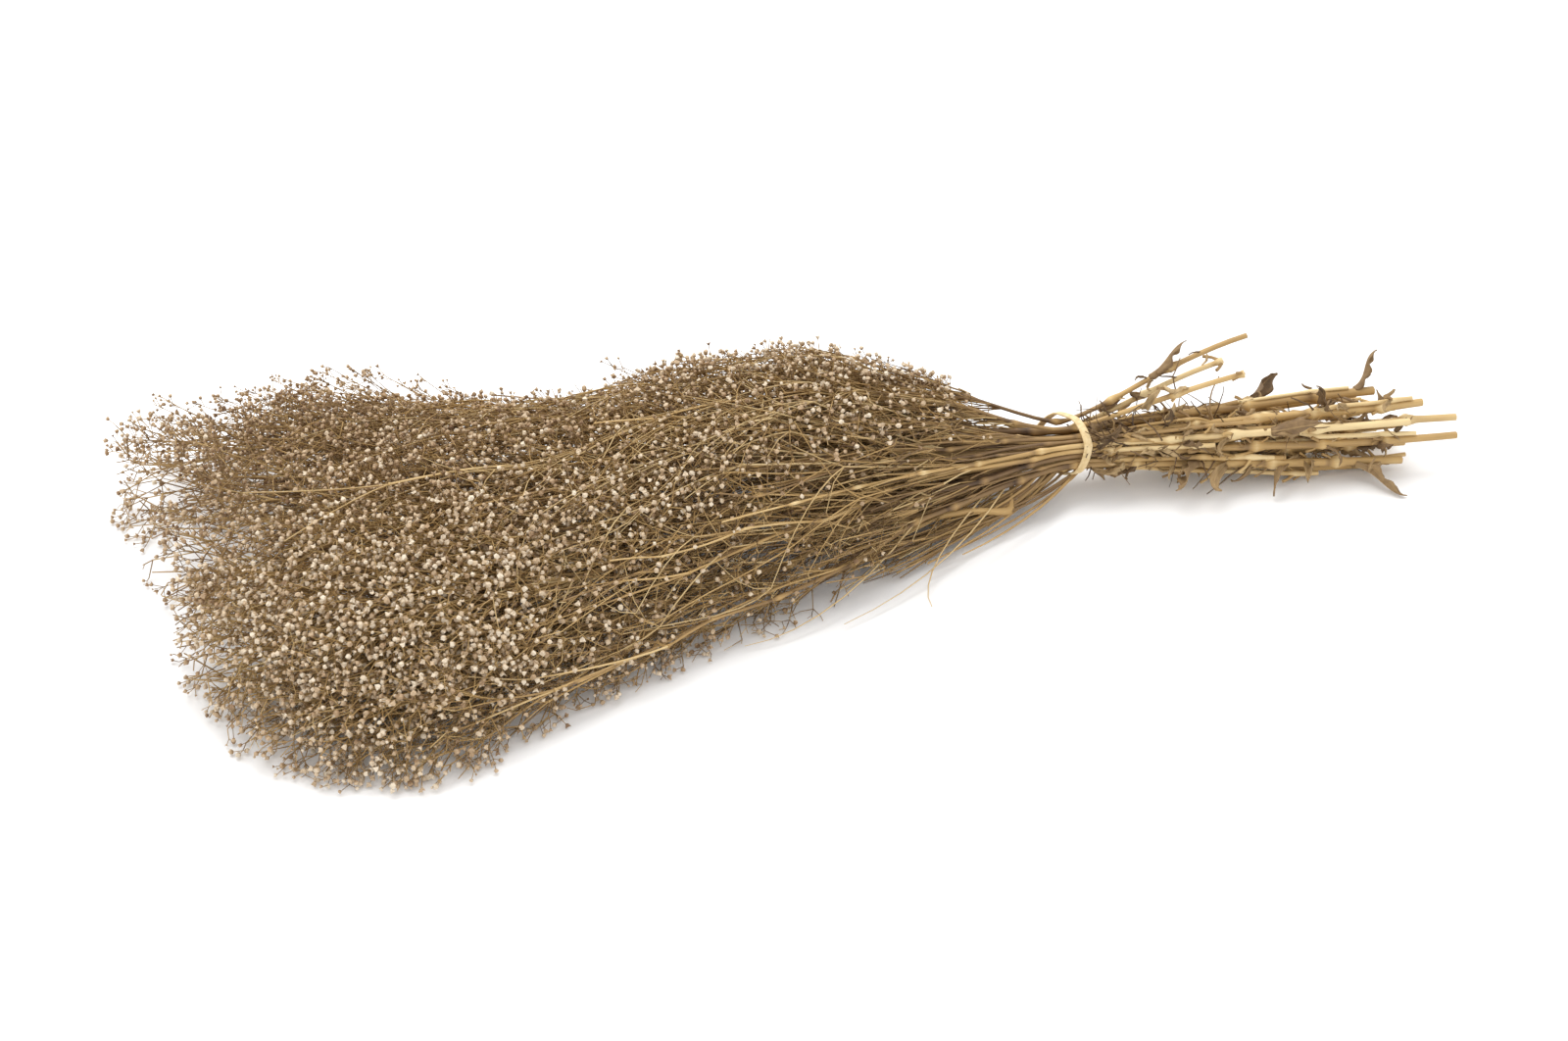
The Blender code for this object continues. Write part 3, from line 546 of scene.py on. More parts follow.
def all_joints(line, large, chance):
    """Where a stem's large and small joints lie, as how far along it, with how much each swells."""
    along = distances_along(line)
    ends = [0.0] + list(large) + [along[-1]]
    joints = [(place, LARGE_SWELL) for place in large]
    for low, high in zip(ends, ends[1:]):
        count = round((high - low) / SMALL_JOINT_PITCH)
        for part in range(1, count):
            place = low + (high - low) * (part + chance.uniform(-JOINT_STRAY, JOINT_STRAY)) / count
            joints.append((place, chance.uniform(*SMALL_SWELL)))
    return sorted(joints)


def bent(line, joints, chance):
    """A stem's line with a slight bend at every joint."""
    along = distances_along(line)
    neck = along[int(np.argmin(np.abs(line[:, 0] - NECK.x)))]
    knots = [0.0] + [place for place, _ in joints] + [along[-1]]
    shifts = np.zeros((len(knots), 3))
    for row, knot in enumerate(knots[1:-1], 1):
        size = BEND_IN_MASS if knot > neck else BEND_BARE
        still = np.interp(abs(knot - neck), STILL_AT_NECK, (0.0, 1.0))
        shifts[row] = [0.0, chance.uniform(-1, 1) * size * still, chance.uniform(-1, 1) * size * still]
    moved = np.array(line)
    for axis in (1, 2):
        moved[:, axis] += np.interp(along, knots, shifts[:, axis])
    moved[:, 2] = np.maximum(moved[:, 2], np.minimum(line[:, 2], LOWEST_STEM))
    return moved


SMOOTH_STEMS = list(STEMS)
STEM_JOINTS = []
for number, line in enumerate(STEMS):
    chance = random.Random(SEED * 1000 + number)
    joints = all_joints(line, JOINTS[number], chance)
    if number in KNOBBED:
        joints.insert(0, KNOB)
    STEM_JOINTS.append(joints)
    STEMS[number] = bent(line, joints, chance)
print("joints on each stem:", [len(joints) for joints in STEM_JOINTS])

# %% [markdown]
# Between the thick stems run thinner ones, and at the band they all have to find room. Round stems
# that are packed side by side leave a hollow between every three of them, and a groove on the
# outside between every two. Both are read from the places of the stems at the neck.

# %% Hollows and grooves between the stems at the neck
HOLLOW_REACH = 1.25
GROOVE_REACH = 1.5
OUTERMOST_SLACK = 0.0012
WHOLE_STEMS = [number for number in range(len(STEMS)) if number not in BROKEN]


def hollows():
    """All threes of stems that lie side by side at the neck."""
    threes = []
    for a in WHOLE_STEMS:
        for b in WHOLE_STEMS:
            for c in WHOLE_STEMS:
                sides = [math.hypot(*(slots[i] - slots[j])) for i, j in ((a, b), (b, c), (c, a))]
                if a < b < c and max(sides) < STEM_PITCH * HOLLOW_REACH:
                    threes.append((a, b, c))
    return threes


def grooves():
    """Neighbouring stems on the outside of the neck, with the way out from between them."""
    found = []
    for a in WHOLE_STEMS:
        for b in WHOLE_STEMS:
            gap = slots[b] - slots[a]
            if a == b or math.hypot(*gap) > STEM_PITCH * GROOVE_REACH:
                continue
            out = np.array([gap[1], -gap[0]]) / math.hypot(*gap)
            if all((slots[other] - slots[a]) @ out < OUTERMOST_SLACK for other in WHOLE_STEMS):
                found.append((a, b, out))
    return found


print("hollows:", len(hollows()), "grooves:", len(grooves()))

# %% [markdown]
# A side shoot leaves its stem on the bare part and runs on through a hollow, so its line is its own
# stem's at first and the mean of three stems' lines later. A thin stalk with a cut end of its own
# lies in a groove, pressed in at the band and lifted away from it. Other thin stalks lie across the
# bare part, from one stem over to another. Mixing the stems' lines keeps them all side by side.

# %% Lines of the thinner stalks
SHOOT_LEAVES_OVER = 0.050
SHOOT_STEP = 0.006
GROOVE_LIFT = 0.0016
GROOVE_PRESSED = 0.3
GROOVE_SPRING = 0.003
BAND_HOLDS = 0.02
CROSSING_LENGTH = 0.060
CROSSING_LIFT = 0.0034


def stem_at(number, xs):
    """Where a stem lies at given values of x."""
    line = STEMS[number][::-1]
    return np.column_stack([xs, np.interp(xs, line[:, 0], line[:, 1]), np.interp(xs, line[:, 0], line[:, 2])])


def groove_stalk(a, b, out, cut_x, stop_x):
    """A thin stalk that lies outside, between stems a and b."""
    xs = np.arange(cut_x, stop_x, -SHOOT_STEP)
    line = (stem_at(a, xs) + stem_at(b, xs)) / 2
    away = np.abs(xs - NECK.x)
    lift = GROOVE_LIFT * np.clip(away / BAND_HOLDS, GROOVE_PRESSED, 1.0)
    lift += np.clip((away - BAND_HOLDS) / 0.1, 0.0, 1.0) * np.where(xs > NECK.x, GROOVE_SPRING, 0.0)
    line[:, 1:] += lift[:, None] * out
    line[:, 2] = np.maximum(line[:, 2], LOWEST_STEM)
    return line


def crossing_stalk(a, b, cut_x, stop_x, turn_x):
    """A thin stalk that lies beside stem a in the mass and crosses over to stem b on the bare part."""
    xs = np.arange(cut_x, stop_x, -SHOOT_STEP)
    share = np.clip((xs - turn_x) / CROSSING_LENGTH, 0.0, 1.0)[:, None]
    line = stem_at(a, xs) * (1 - share) + stem_at(b, xs) * share
    line[:, 2] += CROSSING_LIFT * np.clip((np.abs(xs - NECK.x) - 0.012) / 0.03, 0.0, 1.0)
    line[:, 2] = np.maximum(line[:, 2], LOWEST_STEM)
    return line


def side_shoot(number, three, root_x, stop_x):
    """A thinner shoot that leaves its stem and runs on between three stems."""
    xs = np.arange(root_x, stop_x, -SHOOT_STEP)
    own = stem_at(number, xs)
    mean = sum(stem_at(other, xs) for other in three) / 3
    left = np.clip((root_x - xs) / SHOOT_LEAVES_OVER, 0.0, 1.0)[:, None]
    left = left * left * (3 - 2 * left)
    return own * (1 - left) + mean * left


print("points on the first groove stalk's line:", len(groove_stalk(*grooves()[0], 0.30, 0.0)))

# %% [markdown]
# Everything from which finer shoots will grow is kept as a host: its line from the root on, the
# joints on it, and the spray that it belongs to. The main stems come first, then the side shoots in
# the hollows, the thin stalks in the grooves, and one crossing stalk for each stem. Each host's
# joints are a swelling and a distance apart that suit its thickness.

# %% The hosts
SHOOT_JOINTS = (0.35, 0.046)
GROOVE_JOINTS = (0.38, 0.043)
CROSSING_JOINTS = (0.40, 0.037)
CROSSING_REACH = (0.006, 0.016)
SHOOT_ROOTS_FROM = NECK.x + 0.045


class Host:
    """A stem or side shoot from which shoots grow: its line from the root on, its joints, its spray."""

    def __init__(self, spray, line, joints):
        self.spray = spray
        self.line = line
        self.along = distances_along(line)
        self.joints = joints


def even_joints(line, first, kind):
    """Joints of one kind, a swelling and a pitch, from a first place to the end of a line."""
    swelling, pitch = kind
    return [(place, swelling) for place in np.arange(first, distances_along(line)[-1], pitch)]


def stems_beside(number):
    """The stems that a stalk may cross over to from one stem."""
    low, high = CROSSING_REACH
    return [other for other in WHOLE_STEMS if low < math.hypot(*(slots[number] - slots[other])) < high]


HOSTS = [Host(number, line, STEM_JOINTS[number]) for number, line in enumerate(STEMS)]
chance = random.Random(SEED * 3)
for three in hollows():
    number = chance.choice(three)
    tail = [place for place in STEMS[number] if place[0] > SHOOT_ROOTS_FROM]
    root = chance.choice(tail[10:]) if len(tail) > 20 else tail[0]
    line = side_shoot(number, three, float(root[0]), chance.uniform(-0.16, 0.06))
    HOSTS.append(Host(number, line, even_joints(line, 0.04, SHOOT_JOINTS)))
for a, b, out in grooves():
    line = groove_stalk(a, b, out, chance.uniform(0.190, 0.312), chance.uniform(-0.12, 0.05))
    joints = even_joints(line, chance.uniform(0.01, 0.04), GROOVE_JOINTS)
    HOSTS.append(Host(chance.choice((a, b)), bent(line, joints, chance), joints))
for a in WHOLE_STEMS:
    b = chance.choice(stems_beside(a))
    turn_x = chance.uniform(NECK.x + 0.01, 0.22)
    cut_x = min(turn_x + chance.uniform(0.05, 0.14), 0.315)
    line = crossing_stalk(a, b, cut_x, chance.uniform(0.02, 0.11), turn_x)
    joints = even_joints(line, chance.uniform(0.008, 0.03), CROSSING_JOINTS)
    HOSTS.append(Host(a, bent(line, joints, chance), joints))
print("side shoots and thin stalks:", len(HOSTS) - len(STEMS))

# %% [markdown]
# A main stem tapers from about 4.4 mm at its cut end to under 1 mm at its tip, and swells at its
# joints, where leaves and shoots grew. A joint is a short bump of thickness on the path, with extra
# points so that the bump is round: the path is only dense where the stem isn't straight. The skin
# is paler on the bare part than in the neck, and each joint is pale with a dark ring behind it.

# %% The main stems and side shoots as paths
CUT_RADIUS = 0.00218
STUB_RADIUS = 0.0014
SHOOT_RADIUS = 0.0011
TIP_RADIUS = 0.00038
TAPER_FROM = 0.20
TAPER_POWER = 1.35
JOINT_REACH = 0.0023
JOINT_REACH_BACK = 1.6 * JOINT_REACH
PATH_STEP = 0.0085
JOINT_CLEAR = 0.006
JOINT_POINTS = (-0.0058, -0.0026, 0.0, 0.0018, 0.0042)
STEM_TONES = (0.46, 0.58, 0.69, 0.78, 0.86)
TONE_STATIONS = (-0.05, 0.11, 0.16, 0.30)
TONE_SHIFTS = (-0.04, -0.24, 0.08, 0.14)


def host_radius(host, root_radius, places):
    """The radius of a stem or side shoot at places along it."""
    part = places / host.along[-1]
    left = (1.0 - np.clip((part - TAPER_FROM) / (1 - TAPER_FROM), 0.0, 1.0)) ** TAPER_POWER
    radius = TIP_RADIUS + (root_radius - TIP_RADIUS) * left
    swell = np.zeros_like(places)
    for joint, size in host.joints:
        away = places - joint
        bump = size * np.exp(-(away / np.where(away > 0, JOINT_REACH, JOINT_REACH_BACK)) ** 2)
        swell = np.maximum(swell, bump)
    return radius * (1.0 + swell)


def draw_host(host, root_radius, tone):
    """Add a host's path to its spray's skeleton, with extra points at its joints."""
    stops = set(np.arange(0.0, host.along[-1], PATH_STEP)) | {host.along[-1]}
    for joint, _ in host.joints:
        stops = {stop for stop in stops if abs(stop - joint) > JOINT_CLEAR}
        stops |= {joint + shift for shift in JOINT_POINTS}
    places = np.array(sorted(stop for stop in stops if 0.0 <= stop <= host.along[-1]))
    points = np.column_stack([np.interp(places, host.along, host.line[:, axis]) for axis in range(3)])
    thickness = host_radius(host, root_radius, places)
    points[:, 2] = np.maximum(points[:, 2], thickness)
    tones = tone + np.interp(points[:, 0], TONE_STATIONS, TONE_SHIFTS)
    for joint, size in host.joints:
        tones += 0.30 * size * np.exp(-((places - joint) / 0.0022) ** 2)
        tones -= 0.35 * size * np.exp(-((places - joint - 0.0042) / 0.0018) ** 2)
    SKELETONS[host.spray].add(points, thickness, 0, tones)


for number, host in enumerate(HOSTS):
    chance = random.Random(SEED * 2000 + number)
    if number >= len(STEMS):
        radius = SHOOT_RADIUS * chance.uniform(0.75, 1.20)
    elif number in BROKEN:
        radius = STUB_RADIUS
    else:
        radius = CUT_RADIUS * chance.uniform(0.80, 1.08)
    draw_host(host, radius, chance.choice(STEM_TONES) + chance.uniform(-0.05, 0.05))
print("stem points:", sum(len(skeleton.places) for skeleton in SKELETONS))

# %% [markdown]
# The flower mass is a wide heap, flat below, widest at its left end and with a second crown on top
# near the neck. A sculpted shell could hold it, but a row of cross-sections along x is easier to
# read and change: at each station, where the near side, the far side and the top lie.

# %% The outline of the flower mass
STATION_X = (-0.341, -0.326, -0.305, -0.275, -0.242, -0.190, -0.120, -0.050, 0.000, 0.040, 0.075, 0.110)
NEAR_SIDE = (0.068, 0.018, -0.072, -0.120, -0.141, -0.150, -0.108, -0.078, -0.064, -0.048, -0.026, 0.000)
FAR_SIDE = (0.114, 0.126, 0.132, 0.138, 0.148, 0.122, 0.094, 0.090, 0.086, 0.072, 0.056, 0.042)
TOP = (0.052, 0.057, 0.063, 0.069, 0.073, 0.075, 0.078, 0.091, 0.094, 0.084, 0.066, 0.050)
ROOF_CROWN = 2.4
ROOF_DROP = 0.55
GROUND = 0.0016


def section_at(x):
    """The near side, the far side and the top of the mass at x."""
    return (float(np.interp(x, STATION_X, side)) for side in (NEAR_SIDE, FAR_SIDE, TOP))


def depth_in_mass(place, slack=0.0):
    """How far a place lies inside the flower mass, in metres, below 0 outside it."""
    x, y, z = place
    if x < STATION_X[0] - slack or x > STATION_X[-1]:
        return -1.0
    near, far, top = section_at(x)
    half = (far - near) / 2 + slack
    across = abs(y - (near + far) / 2) / half
    if across >= 1.0:
        return -1.0
    roof = (top + slack) * (1 - across ** ROOF_CROWN) ** ROOF_DROP
    return min(roof - z, (1 - across) * half, x - STATION_X[0] + slack)


print("the mass is", round((max(FAR_SIDE) - min(NEAR_SIDE)) * 1000), "mm wide at its widest stations")

# %% [markdown]
# The photographed bunch isn't equally full. A lobe towards the viewer and one on top are thick with
# buds, and the middle is so thin that stems show through. So a fullness is worked out for every
# place: a base value, soft lobes and hollows that add or take away, and clumps from a noise about
# 30 to 50 mm across. The near lobe is also bleached, and few buds are left where it was handled.

# %% How full and how bleached the mass is
LOBES = (
    ((-0.200, -0.085, 0.040), (0.115, 0.065, 0.050), 2.70),
    ((-0.325, -0.060, 0.020), (0.050, 0.090, 0.060), -1.00),
    ((-0.345, 0.070, 0.030), (0.040, 0.070, 0.060), -0.10),
    ((0.030, -0.062, 0.015), (0.065, 0.022, 0.030), -0.70),
    ((0.002, 0.025, 0.085), (0.066, 0.060, 0.040), 1.70),
    ((-0.100, -0.060, 0.050), (0.070, 0.050, 0.050), 0.45),
    ((-0.020, 0.020, 0.060), (0.020, 0.014, 0.060), -1.30),
    ((-0.013, -0.029, 0.055), (0.022, 0.014, 0.030), -1.00),
    ((-0.250, 0.000, 0.040), (0.022, 0.016, 0.050), -0.45),
    ((-0.250, 0.070, 0.040), (0.070, 0.050, 0.050), 0.25),
    ((-0.150, 0.095, 0.060), (0.060, 0.025, 0.060), -0.35),
    ((0.058, 0.040, 0.055), (0.036, 0.034, 0.036), 1.20),
    ((0.088, 0.000, 0.030), (0.030, 0.060, 0.040), -0.40),
)
THINNEST = 0.55
CLUMPING = 1.05
CLUMP_SIZE = (0.046, 0.027, 0.027)
BLEACHED_X = (-0.13, -0.06)
MOST_BUDS = 0.97


def fullness(place):
    """How thick the mass is with forks: above 1 in its lobes, low where stems show through."""
    total = THINNEST
    for centre, radii, amount in LOBES:
        away = sum(((place[axis] - centre[axis]) / radii[axis]) ** 2 for axis in range(3))
        total += amount * math.exp(-away)
    clump = noise.noise(Vector([place[axis] / CLUMP_SIZE[axis] for axis in range(3)]))
    return max(total * (1.0 + CLUMPING * clump), 0.10)


def bleach(place):
    """How far the shoots and buds of the full near lobe are bleached, from 0 to 1."""
    lobe = min(1.0, max(0.0, fullness(place) - THINNEST) / 2)
    return lobe * float(np.interp(place[0], BLEACHED_X, (1.0, 0.0)))


def bud_share(place):
    """The share of pedicels that still carry a bud: few where the bunch was handled and at its neck."""
    bare_edge = math.exp(-(place[0] / 0.085) ** 2 - ((place[1] + 0.072) / 0.034) ** 2)
    start = float(np.interp(place[1], (-0.035, 0.015), (-0.005, 0.068)))
    neck = float(np.interp(place[0], (start, start + 0.035), (0.0, 0.85)))
    middle = 0.42 * math.exp(-((place[0] + 0.070) / 0.080) ** 2 - ((place[1] - 0.005) / 0.045) ** 2)
    return MOST_BUDS - max(0.9 * bare_edge, neck, middle)


print("fullness of the near lobe and of the middle:", [
    round(fullness(place), 2) for place in ((-0.200, -0.085, 0.040), (-0.110, 0.020, 0.040))])

# %% [markdown]
# An outer fork is where a spray's last sprig begins. Forks are planted inside the mass at random, but
# never closer together than their spacing, which shrinks where the mass is full: even spacing is
# what a real bunch has, because each sprig needs its room. Deeper in, where the light no longer
# reaches, they stand further apart. A search tree then finds the host that is nearest to each.

# %% Planting the outer forks
FORK_SPACING = 0.0110
SHELL = 0.020
CORE_SPACING = 1.50
FORK_TRIES = 80000
FORK_DEPTH = 0.006
LOWEST_FORK = 0.005
LAST_FORK_X = 0.088
NEAR_EDGE_CLEAR = 0.016
FIRST_BRANCH_X = 0.098


def plant_forks():
    """Places of the outer forks, by throwing points in and keeping those that stand free."""
    chance = random.Random(SEED * 7)
    spots = np.zeros((0, 3))
    for _ in range(FORK_TRIES):
        x = chance.uniform(STATION_X[0], LAST_FORK_X)
        near, far, top = section_at(x)
        place = np.array((x, chance.uniform(near, far), chance.uniform(LOWEST_FORK, top)))
        depth = depth_in_mass(place)
        if depth < FORK_DEPTH or (x > 0.0 and place[1] < near + NEAR_EDGE_CLEAR):
            continue
        spacing = FORK_SPACING / fullness(place) ** (1 / 3)
        if depth > SHELL:
            spacing *= CORE_SPACING
        if len(spots) and ((spots - place) ** 2).sum(axis=1).min() < spacing ** 2:
            continue
        spots = np.vstack([spots, place])
    return [Vector(spot) for spot in spots]


def host_tree():
    """A search tree over all lines in the mass, and which host each entry is on."""
    tree = KDTree(sum(len(host.line) for host in HOSTS))
    owners = []
    for number, host in enumerate(HOSTS):
        for place in host.line:
            if place[0] < FIRST_BRANCH_X:
                tree.insert(place, len(owners))
                owners.append(number)
    tree.balance()
    return tree, owners


HOST_TREE, HOST_OWNERS = host_tree()


def nearest_host(place):
    """The host that passes nearest to a place in the mass."""
    return HOSTS[HOST_OWNERS[HOST_TREE.find(place)[1]]]


FORKS = plant_forks()
print("outer forks:", len(FORKS))

# %% [markdown]
# Gypsophila forks the same way at every size: two or three arms leave a joint and each forks again.
# Growing it outwards from the stem would leave holes and crowds, so the forks are joined backwards.
# Neighbouring forks that belong to one stem meet in a fork further back, those meet again, and the
# last ones meet the stem at one of its joints. Distances along the bunch count less than those
# across it, so that the shoots run lengthwise, as they do in a bunch that is tied and packed.

# %% Joining the forks back to the stems
JOININGS = ((0.024, 0.016), (0.038, 0.026), (0.056, 0.040))
ALONG_COUNTS = 0.55
ROOT_SLANT = 1.5
ROOT_LEAD = 0.014
LONGEST_TO_JOINT = 0.05
FORK_STRAY = 0.12
LEAST_RUN = 0.004


class Fork:
    """A place where the plant divides: what grows from it, and how many outer forks it carries."""

    def __init__(self, place, children=(), girth=1.0):
        self.place = place
        self.children = list(children)
        self.girth = girth
        self.load = sum(child.load for child in self.children) or 1


def root_on(host, place):
    """How far along a host the joint lies from which a shoot to this place leaves."""
    gaps = np.linalg.norm(host.line - np.array(place), axis=1)
    nearest = int(gaps.argmin())
    wanted = host.along[nearest] - gaps[nearest] * ROOT_SLANT - ROOT_LEAD
    first = host.along[int(np.argmax(host.line[:, 0] < FIRST_BRANCH_X))]
    joints = [joint for joint, _ in host.joints if first < joint <= max(wanted, first)]
    return joints[-1] if joints and wanted - joints[-1] < LONGEST_TO_JOINT else max(wanted, first)


def point_on(host, along):
    """The place that lies this far along a host."""
    return Vector([float(np.interp(along, host.along, host.line[:, axis])) for axis in range(3)])


def flow_distance(one, other):
    """How far apart two forks are, with distances along the bunch counting less."""
    gap = one.place - other.place
    return math.hypot(gap.x * ALONG_COUNTS, gap.y, gap.z)


def join_back(host, forks, chance):
    """Gather forks two or three at a time into forks further back towards their stem."""
    for reach, length in JOININGS:
        waiting = sorted(forks, key=lambda fork: fork.place.x)
        forks = []
        while waiting:
            first = waiting.pop(0)
            near = sorted(waiting, key=lambda fork: flow_distance(fork, first))[:2]
            group = [first] + [fork for fork in near if flow_distance(fork, first) < reach]
            waiting = [fork for fork in waiting if fork not in group]
            middle = sum((fork.place for fork in group), Vector()) / len(group)
            back = point_on(host, root_on(host, middle)) - middle
            if back.length < length * 1.5:
                forks += group
                continue
            rearmost = max(fork.place.x for fork in group)
            step = back.normalized() * length * chance.uniform(0.75, 1.25)
            stray = Vector([chance.uniform(-1, 1) for _ in range(3)]) * length * FORK_STRAY
            place = middle + step + stray
            place.x = max(place.x, rearmost + LEAST_RUN)
            place.z = max(place.z, GROUND)
            forks.append(Fork(place, group))
    return forks


ROOTS = [[] for _ in HOSTS]
for place in FORKS:
    ROOTS[HOST_OWNERS[HOST_TREE.find(place)[1]]].append(Fork(place))
for number, forks in enumerate(ROOTS):
    ROOTS[number] = join_back(HOSTS[number], forks, random.Random(SEED * 30 + number))
print("shoots on each stem:", [len(forks) for forks in ROOTS])

# %% [markdown]
# Buds keep clear of each other, and all growth ends at the outside of the mass. Asking every bud for
# its distance to every other would take minutes, so the buds are kept in a grid of small cells and
# only the cells round a place are asked. An arm that would reach out is shortened, or not grown.

# %% Room for buds, and the reach of an arm
BUD_APART = 0.0021


class Buds:
    """The buds of one spray."""

    def __init__(self):
        self.places = []
        self.facing = []
        self.girth = []
        self.tone = []


BUDS = [Buds() for _ in STEMS]
BUD_CELLS = {}


def room_for_bud(place):
    """Whether no bud stands too near, looked up in a grid of cells one spacing wide."""
    cell = tuple(int(math.floor(v / BUD_APART)) for v in place)
    for dx in (-1, 0, 1):
        for dy in (-1, 0, 1):
            for dz in (-1, 0, 1):
                for other in BUD_CELLS.get((cell[0] + dx, cell[1] + dy, cell[2] + dz), ()):
                    if (other - place).length < BUD_APART:
                        return False
    BUD_CELLS.setdefault(cell, []).append(place)
    return True


def reach_inside(root, heading, length, slack):
    """The end of a straight arm, shortened until it lies inside the mass, or None."""
    for share in (1.0, 0.75, 0.5):
        stop = root + heading * length * share
        stop.z = max(stop.z, GROUND)
        if depth_in_mass(stop, slack) > 0:
            return stop
    return None


print("sprays that can carry buds:", len(BUDS))

# %% [markdown]
# A pedicel is a hair-thin stalk of about 5 mm with one bud on its end. Where the bunch was handled
# the buds have fallen and the bare pedicels stay, a little brighter than the rest. A bud near the
# ground faces up rather than into it. Buds differ in size, and one in five is small and unripe.

# %% Pedicels and their buds
BUD_RADII = (0.00098, 0.00150)
SMALL_BUDS = 0.22
SMALL_BUD_SIZE = 0.6
BLEACHED_BUD_GROWTH = 0.10
BLEACHED_STALK_TONE = 0.20
BUD_SINK = 0.2
OUTSIDE_MEAN = 0.0005
OUTSIDE_ROUGHNESS = 0.0030
NEAR_GROUND = 0.004
LEAST_RISE = 0.15
ARM_LENGTHS = (0.0056, 0.0078, 0.0108)
ARM_RADII = (0.00019, 0.00023, 0.00029)


def sprig_tone(place, chance):
    """How bleached the buds of an outer fork are: palest in the full lobes, brown at the upper left."""
    pale = 0.52 + 0.12 * min(2.0, max(-0.5, fullness(place) - THINNEST))
    brown = 0.16 * math.exp(-((place[0] + 0.25) / 0.09) ** 2 - ((place[1] - 0.07) / 0.06) ** 2)
    return chance.gauss(pale - brown, 0.10)


def grow_bud(number, root, heading, length, tone, chance):
    """A pedicel from root along heading, with its bud unless that has fallen."""
    stop = reach_inside(root, heading, length, chance.gauss(OUTSIDE_MEAN, OUTSIDE_ROUGHNESS))
    if stop is None or not room_for_bud(stop):
        return
    facing = (stop - root).normalized()
    if stop.z < NEAR_GROUND:
        facing = Vector((facing.x, facing.y, max(facing.z, LEAST_RISE))).normalized()
    girth = chance.uniform(*BUD_RADII) * (SMALL_BUD_SIZE if chance.random() < SMALL_BUDS else 1.0)
    girth *= 1.0 + BLEACHED_BUD_GROWTH * bleach(stop)
    bare = chance.random() > bud_share(stop)
    stalk_tone = chance.uniform(0.45, 0.85) if bare else chance.uniform(0.25, 0.62)
    SKELETONS[number].add([root, stop + facing * girth * BUD_SINK], [ARM_RADII[0]] * 2, 2,
                          stalk_tone + BLEACHED_STALK_TONE * bleach(stop))
    if bare:
        return
    buds = BUDS[number]
    buds.places.append(tuple(stop))
    buds.facing.append(tuple(facing))
    buds.girth.append(girth)
    buds.tone.append(min(1.0, max(0.0, chance.gauss(tone, 0.19))))


print("pedicels:", ARM_LENGTHS[0] * 1000, "mm long on average,", ARM_RADII[0] * 2000, "mm thick")

# %% [markdown]
# From an outer fork on, the plant divides two or three times more: arms of about 11 mm, arms of about
# 8 mm, and the pedicels. The divisions are alike, so one function that calls itself grows them all.
# The arms stand round their parent's direction like the ribs of an umbrella, unevenly turned and
# leaned, and half of the forks also carry a bud in their middle, as the plant's cymes do.

# %% Arms that fork again
ARM_LEAN = (math.radians(20), math.radians(56))
ARM_UNEVEN = (0.7, 1.3)
TERMINAL_SHARE = 0.5
TERMINAL_LENGTH = (0.5, 0.9)
MASS_MIDDLE_Z = 0.030


def grow_arms(number, root, heading, tier, tone, chance):
    """The last divisions of a shoot: arms that fork again, down to pedicels with buds."""
    side = heading.orthogonal().normalized()
    up = heading.cross(side)
    count = chance.choice((2, 3, 3))
    spin = chance.uniform(0, 2 * math.pi)
    for arm in range(count):
        turn = spin + 2 * math.pi * (arm + chance.uniform(-0.2, 0.2)) / count
        lean = chance.uniform(*ARM_LEAN)
        out = side * math.cos(turn) + up * math.sin(turn)
        direction = heading * math.cos(lean) + out * math.sin(lean)
        length = ARM_LENGTHS[tier] * chance.uniform(*ARM_UNEVEN)
        if tier == 0:
            grow_bud(number, root, direction, length, tone, chance)
            continue
        stop = reach_inside(root, direction, length, -0.001)
        if stop is None:
            continue
        onward = (direction * 0.8 + heading * 0.5).normalized()
        radius = ARM_RADII[tier]
        arm_tone = chance.uniform(0.30, 0.66) + BLEACHED_STALK_TONE * bleach(stop)
        SKELETONS[number].add([root, stop], [radius * 1.2, radius], 2, arm_tone)
        grow_arms(number, stop, onward, tier - 1, tone, chance)
    if chance.random() < TERMINAL_SHARE:
        grow_bud(number, root, heading, ARM_LENGTHS[0] * chance.uniform(*TERMINAL_LENGTH), tone, chance)


def outward_at(place):
    """Away from the middle of the mass, across the bunch and up."""
    near, far = (float(np.interp(place.x, STATION_X, side)) for side in (NEAR_SIDE, FAR_SIDE))
    return Vector((0.0, place.y - (near + far) / 2, place.z - MASS_MIDDLE_Z)).normalized()


print("arms lean", [round(math.degrees(lean)) for lean in ARM_LEAN], "degrees from their parent")

# %% [markdown]
# From the stem outwards, each shoot is drawn as a slightly bowed path that leaves in its parent's
# direction. The more outer forks it carries, the thicker it is, which is the rule that real branches
# follow. Thicker shoots also swell right before they fork. At an outer fork the arms take over.

# %% Growing the shoots
TWIG_RADIUS = 0.00040
LOAD_POWER = 0.32
SHOOT_POINT_PITCH = 0.011
BRANCH_FROM = 1.4
KNOT_REACH = 0.0014
KNOT_SWELL = 1.9
SPRIG_SPREAD = 0.6
SHOOT_TONES = (0.30, 0.95, 0.60)


def bowed(start, stop, heading, steps, bow=0.35):
    """Points of a path that leaves start along heading and bends to stop."""
    lead = start + heading * (stop - start).length * bow
    points = []
    for step in range(steps + 1):
        t = step / steps
        points.append(start * (1 - t) ** 2 + lead * 2 * t * (1 - t) + stop * t ** 2)
    return points


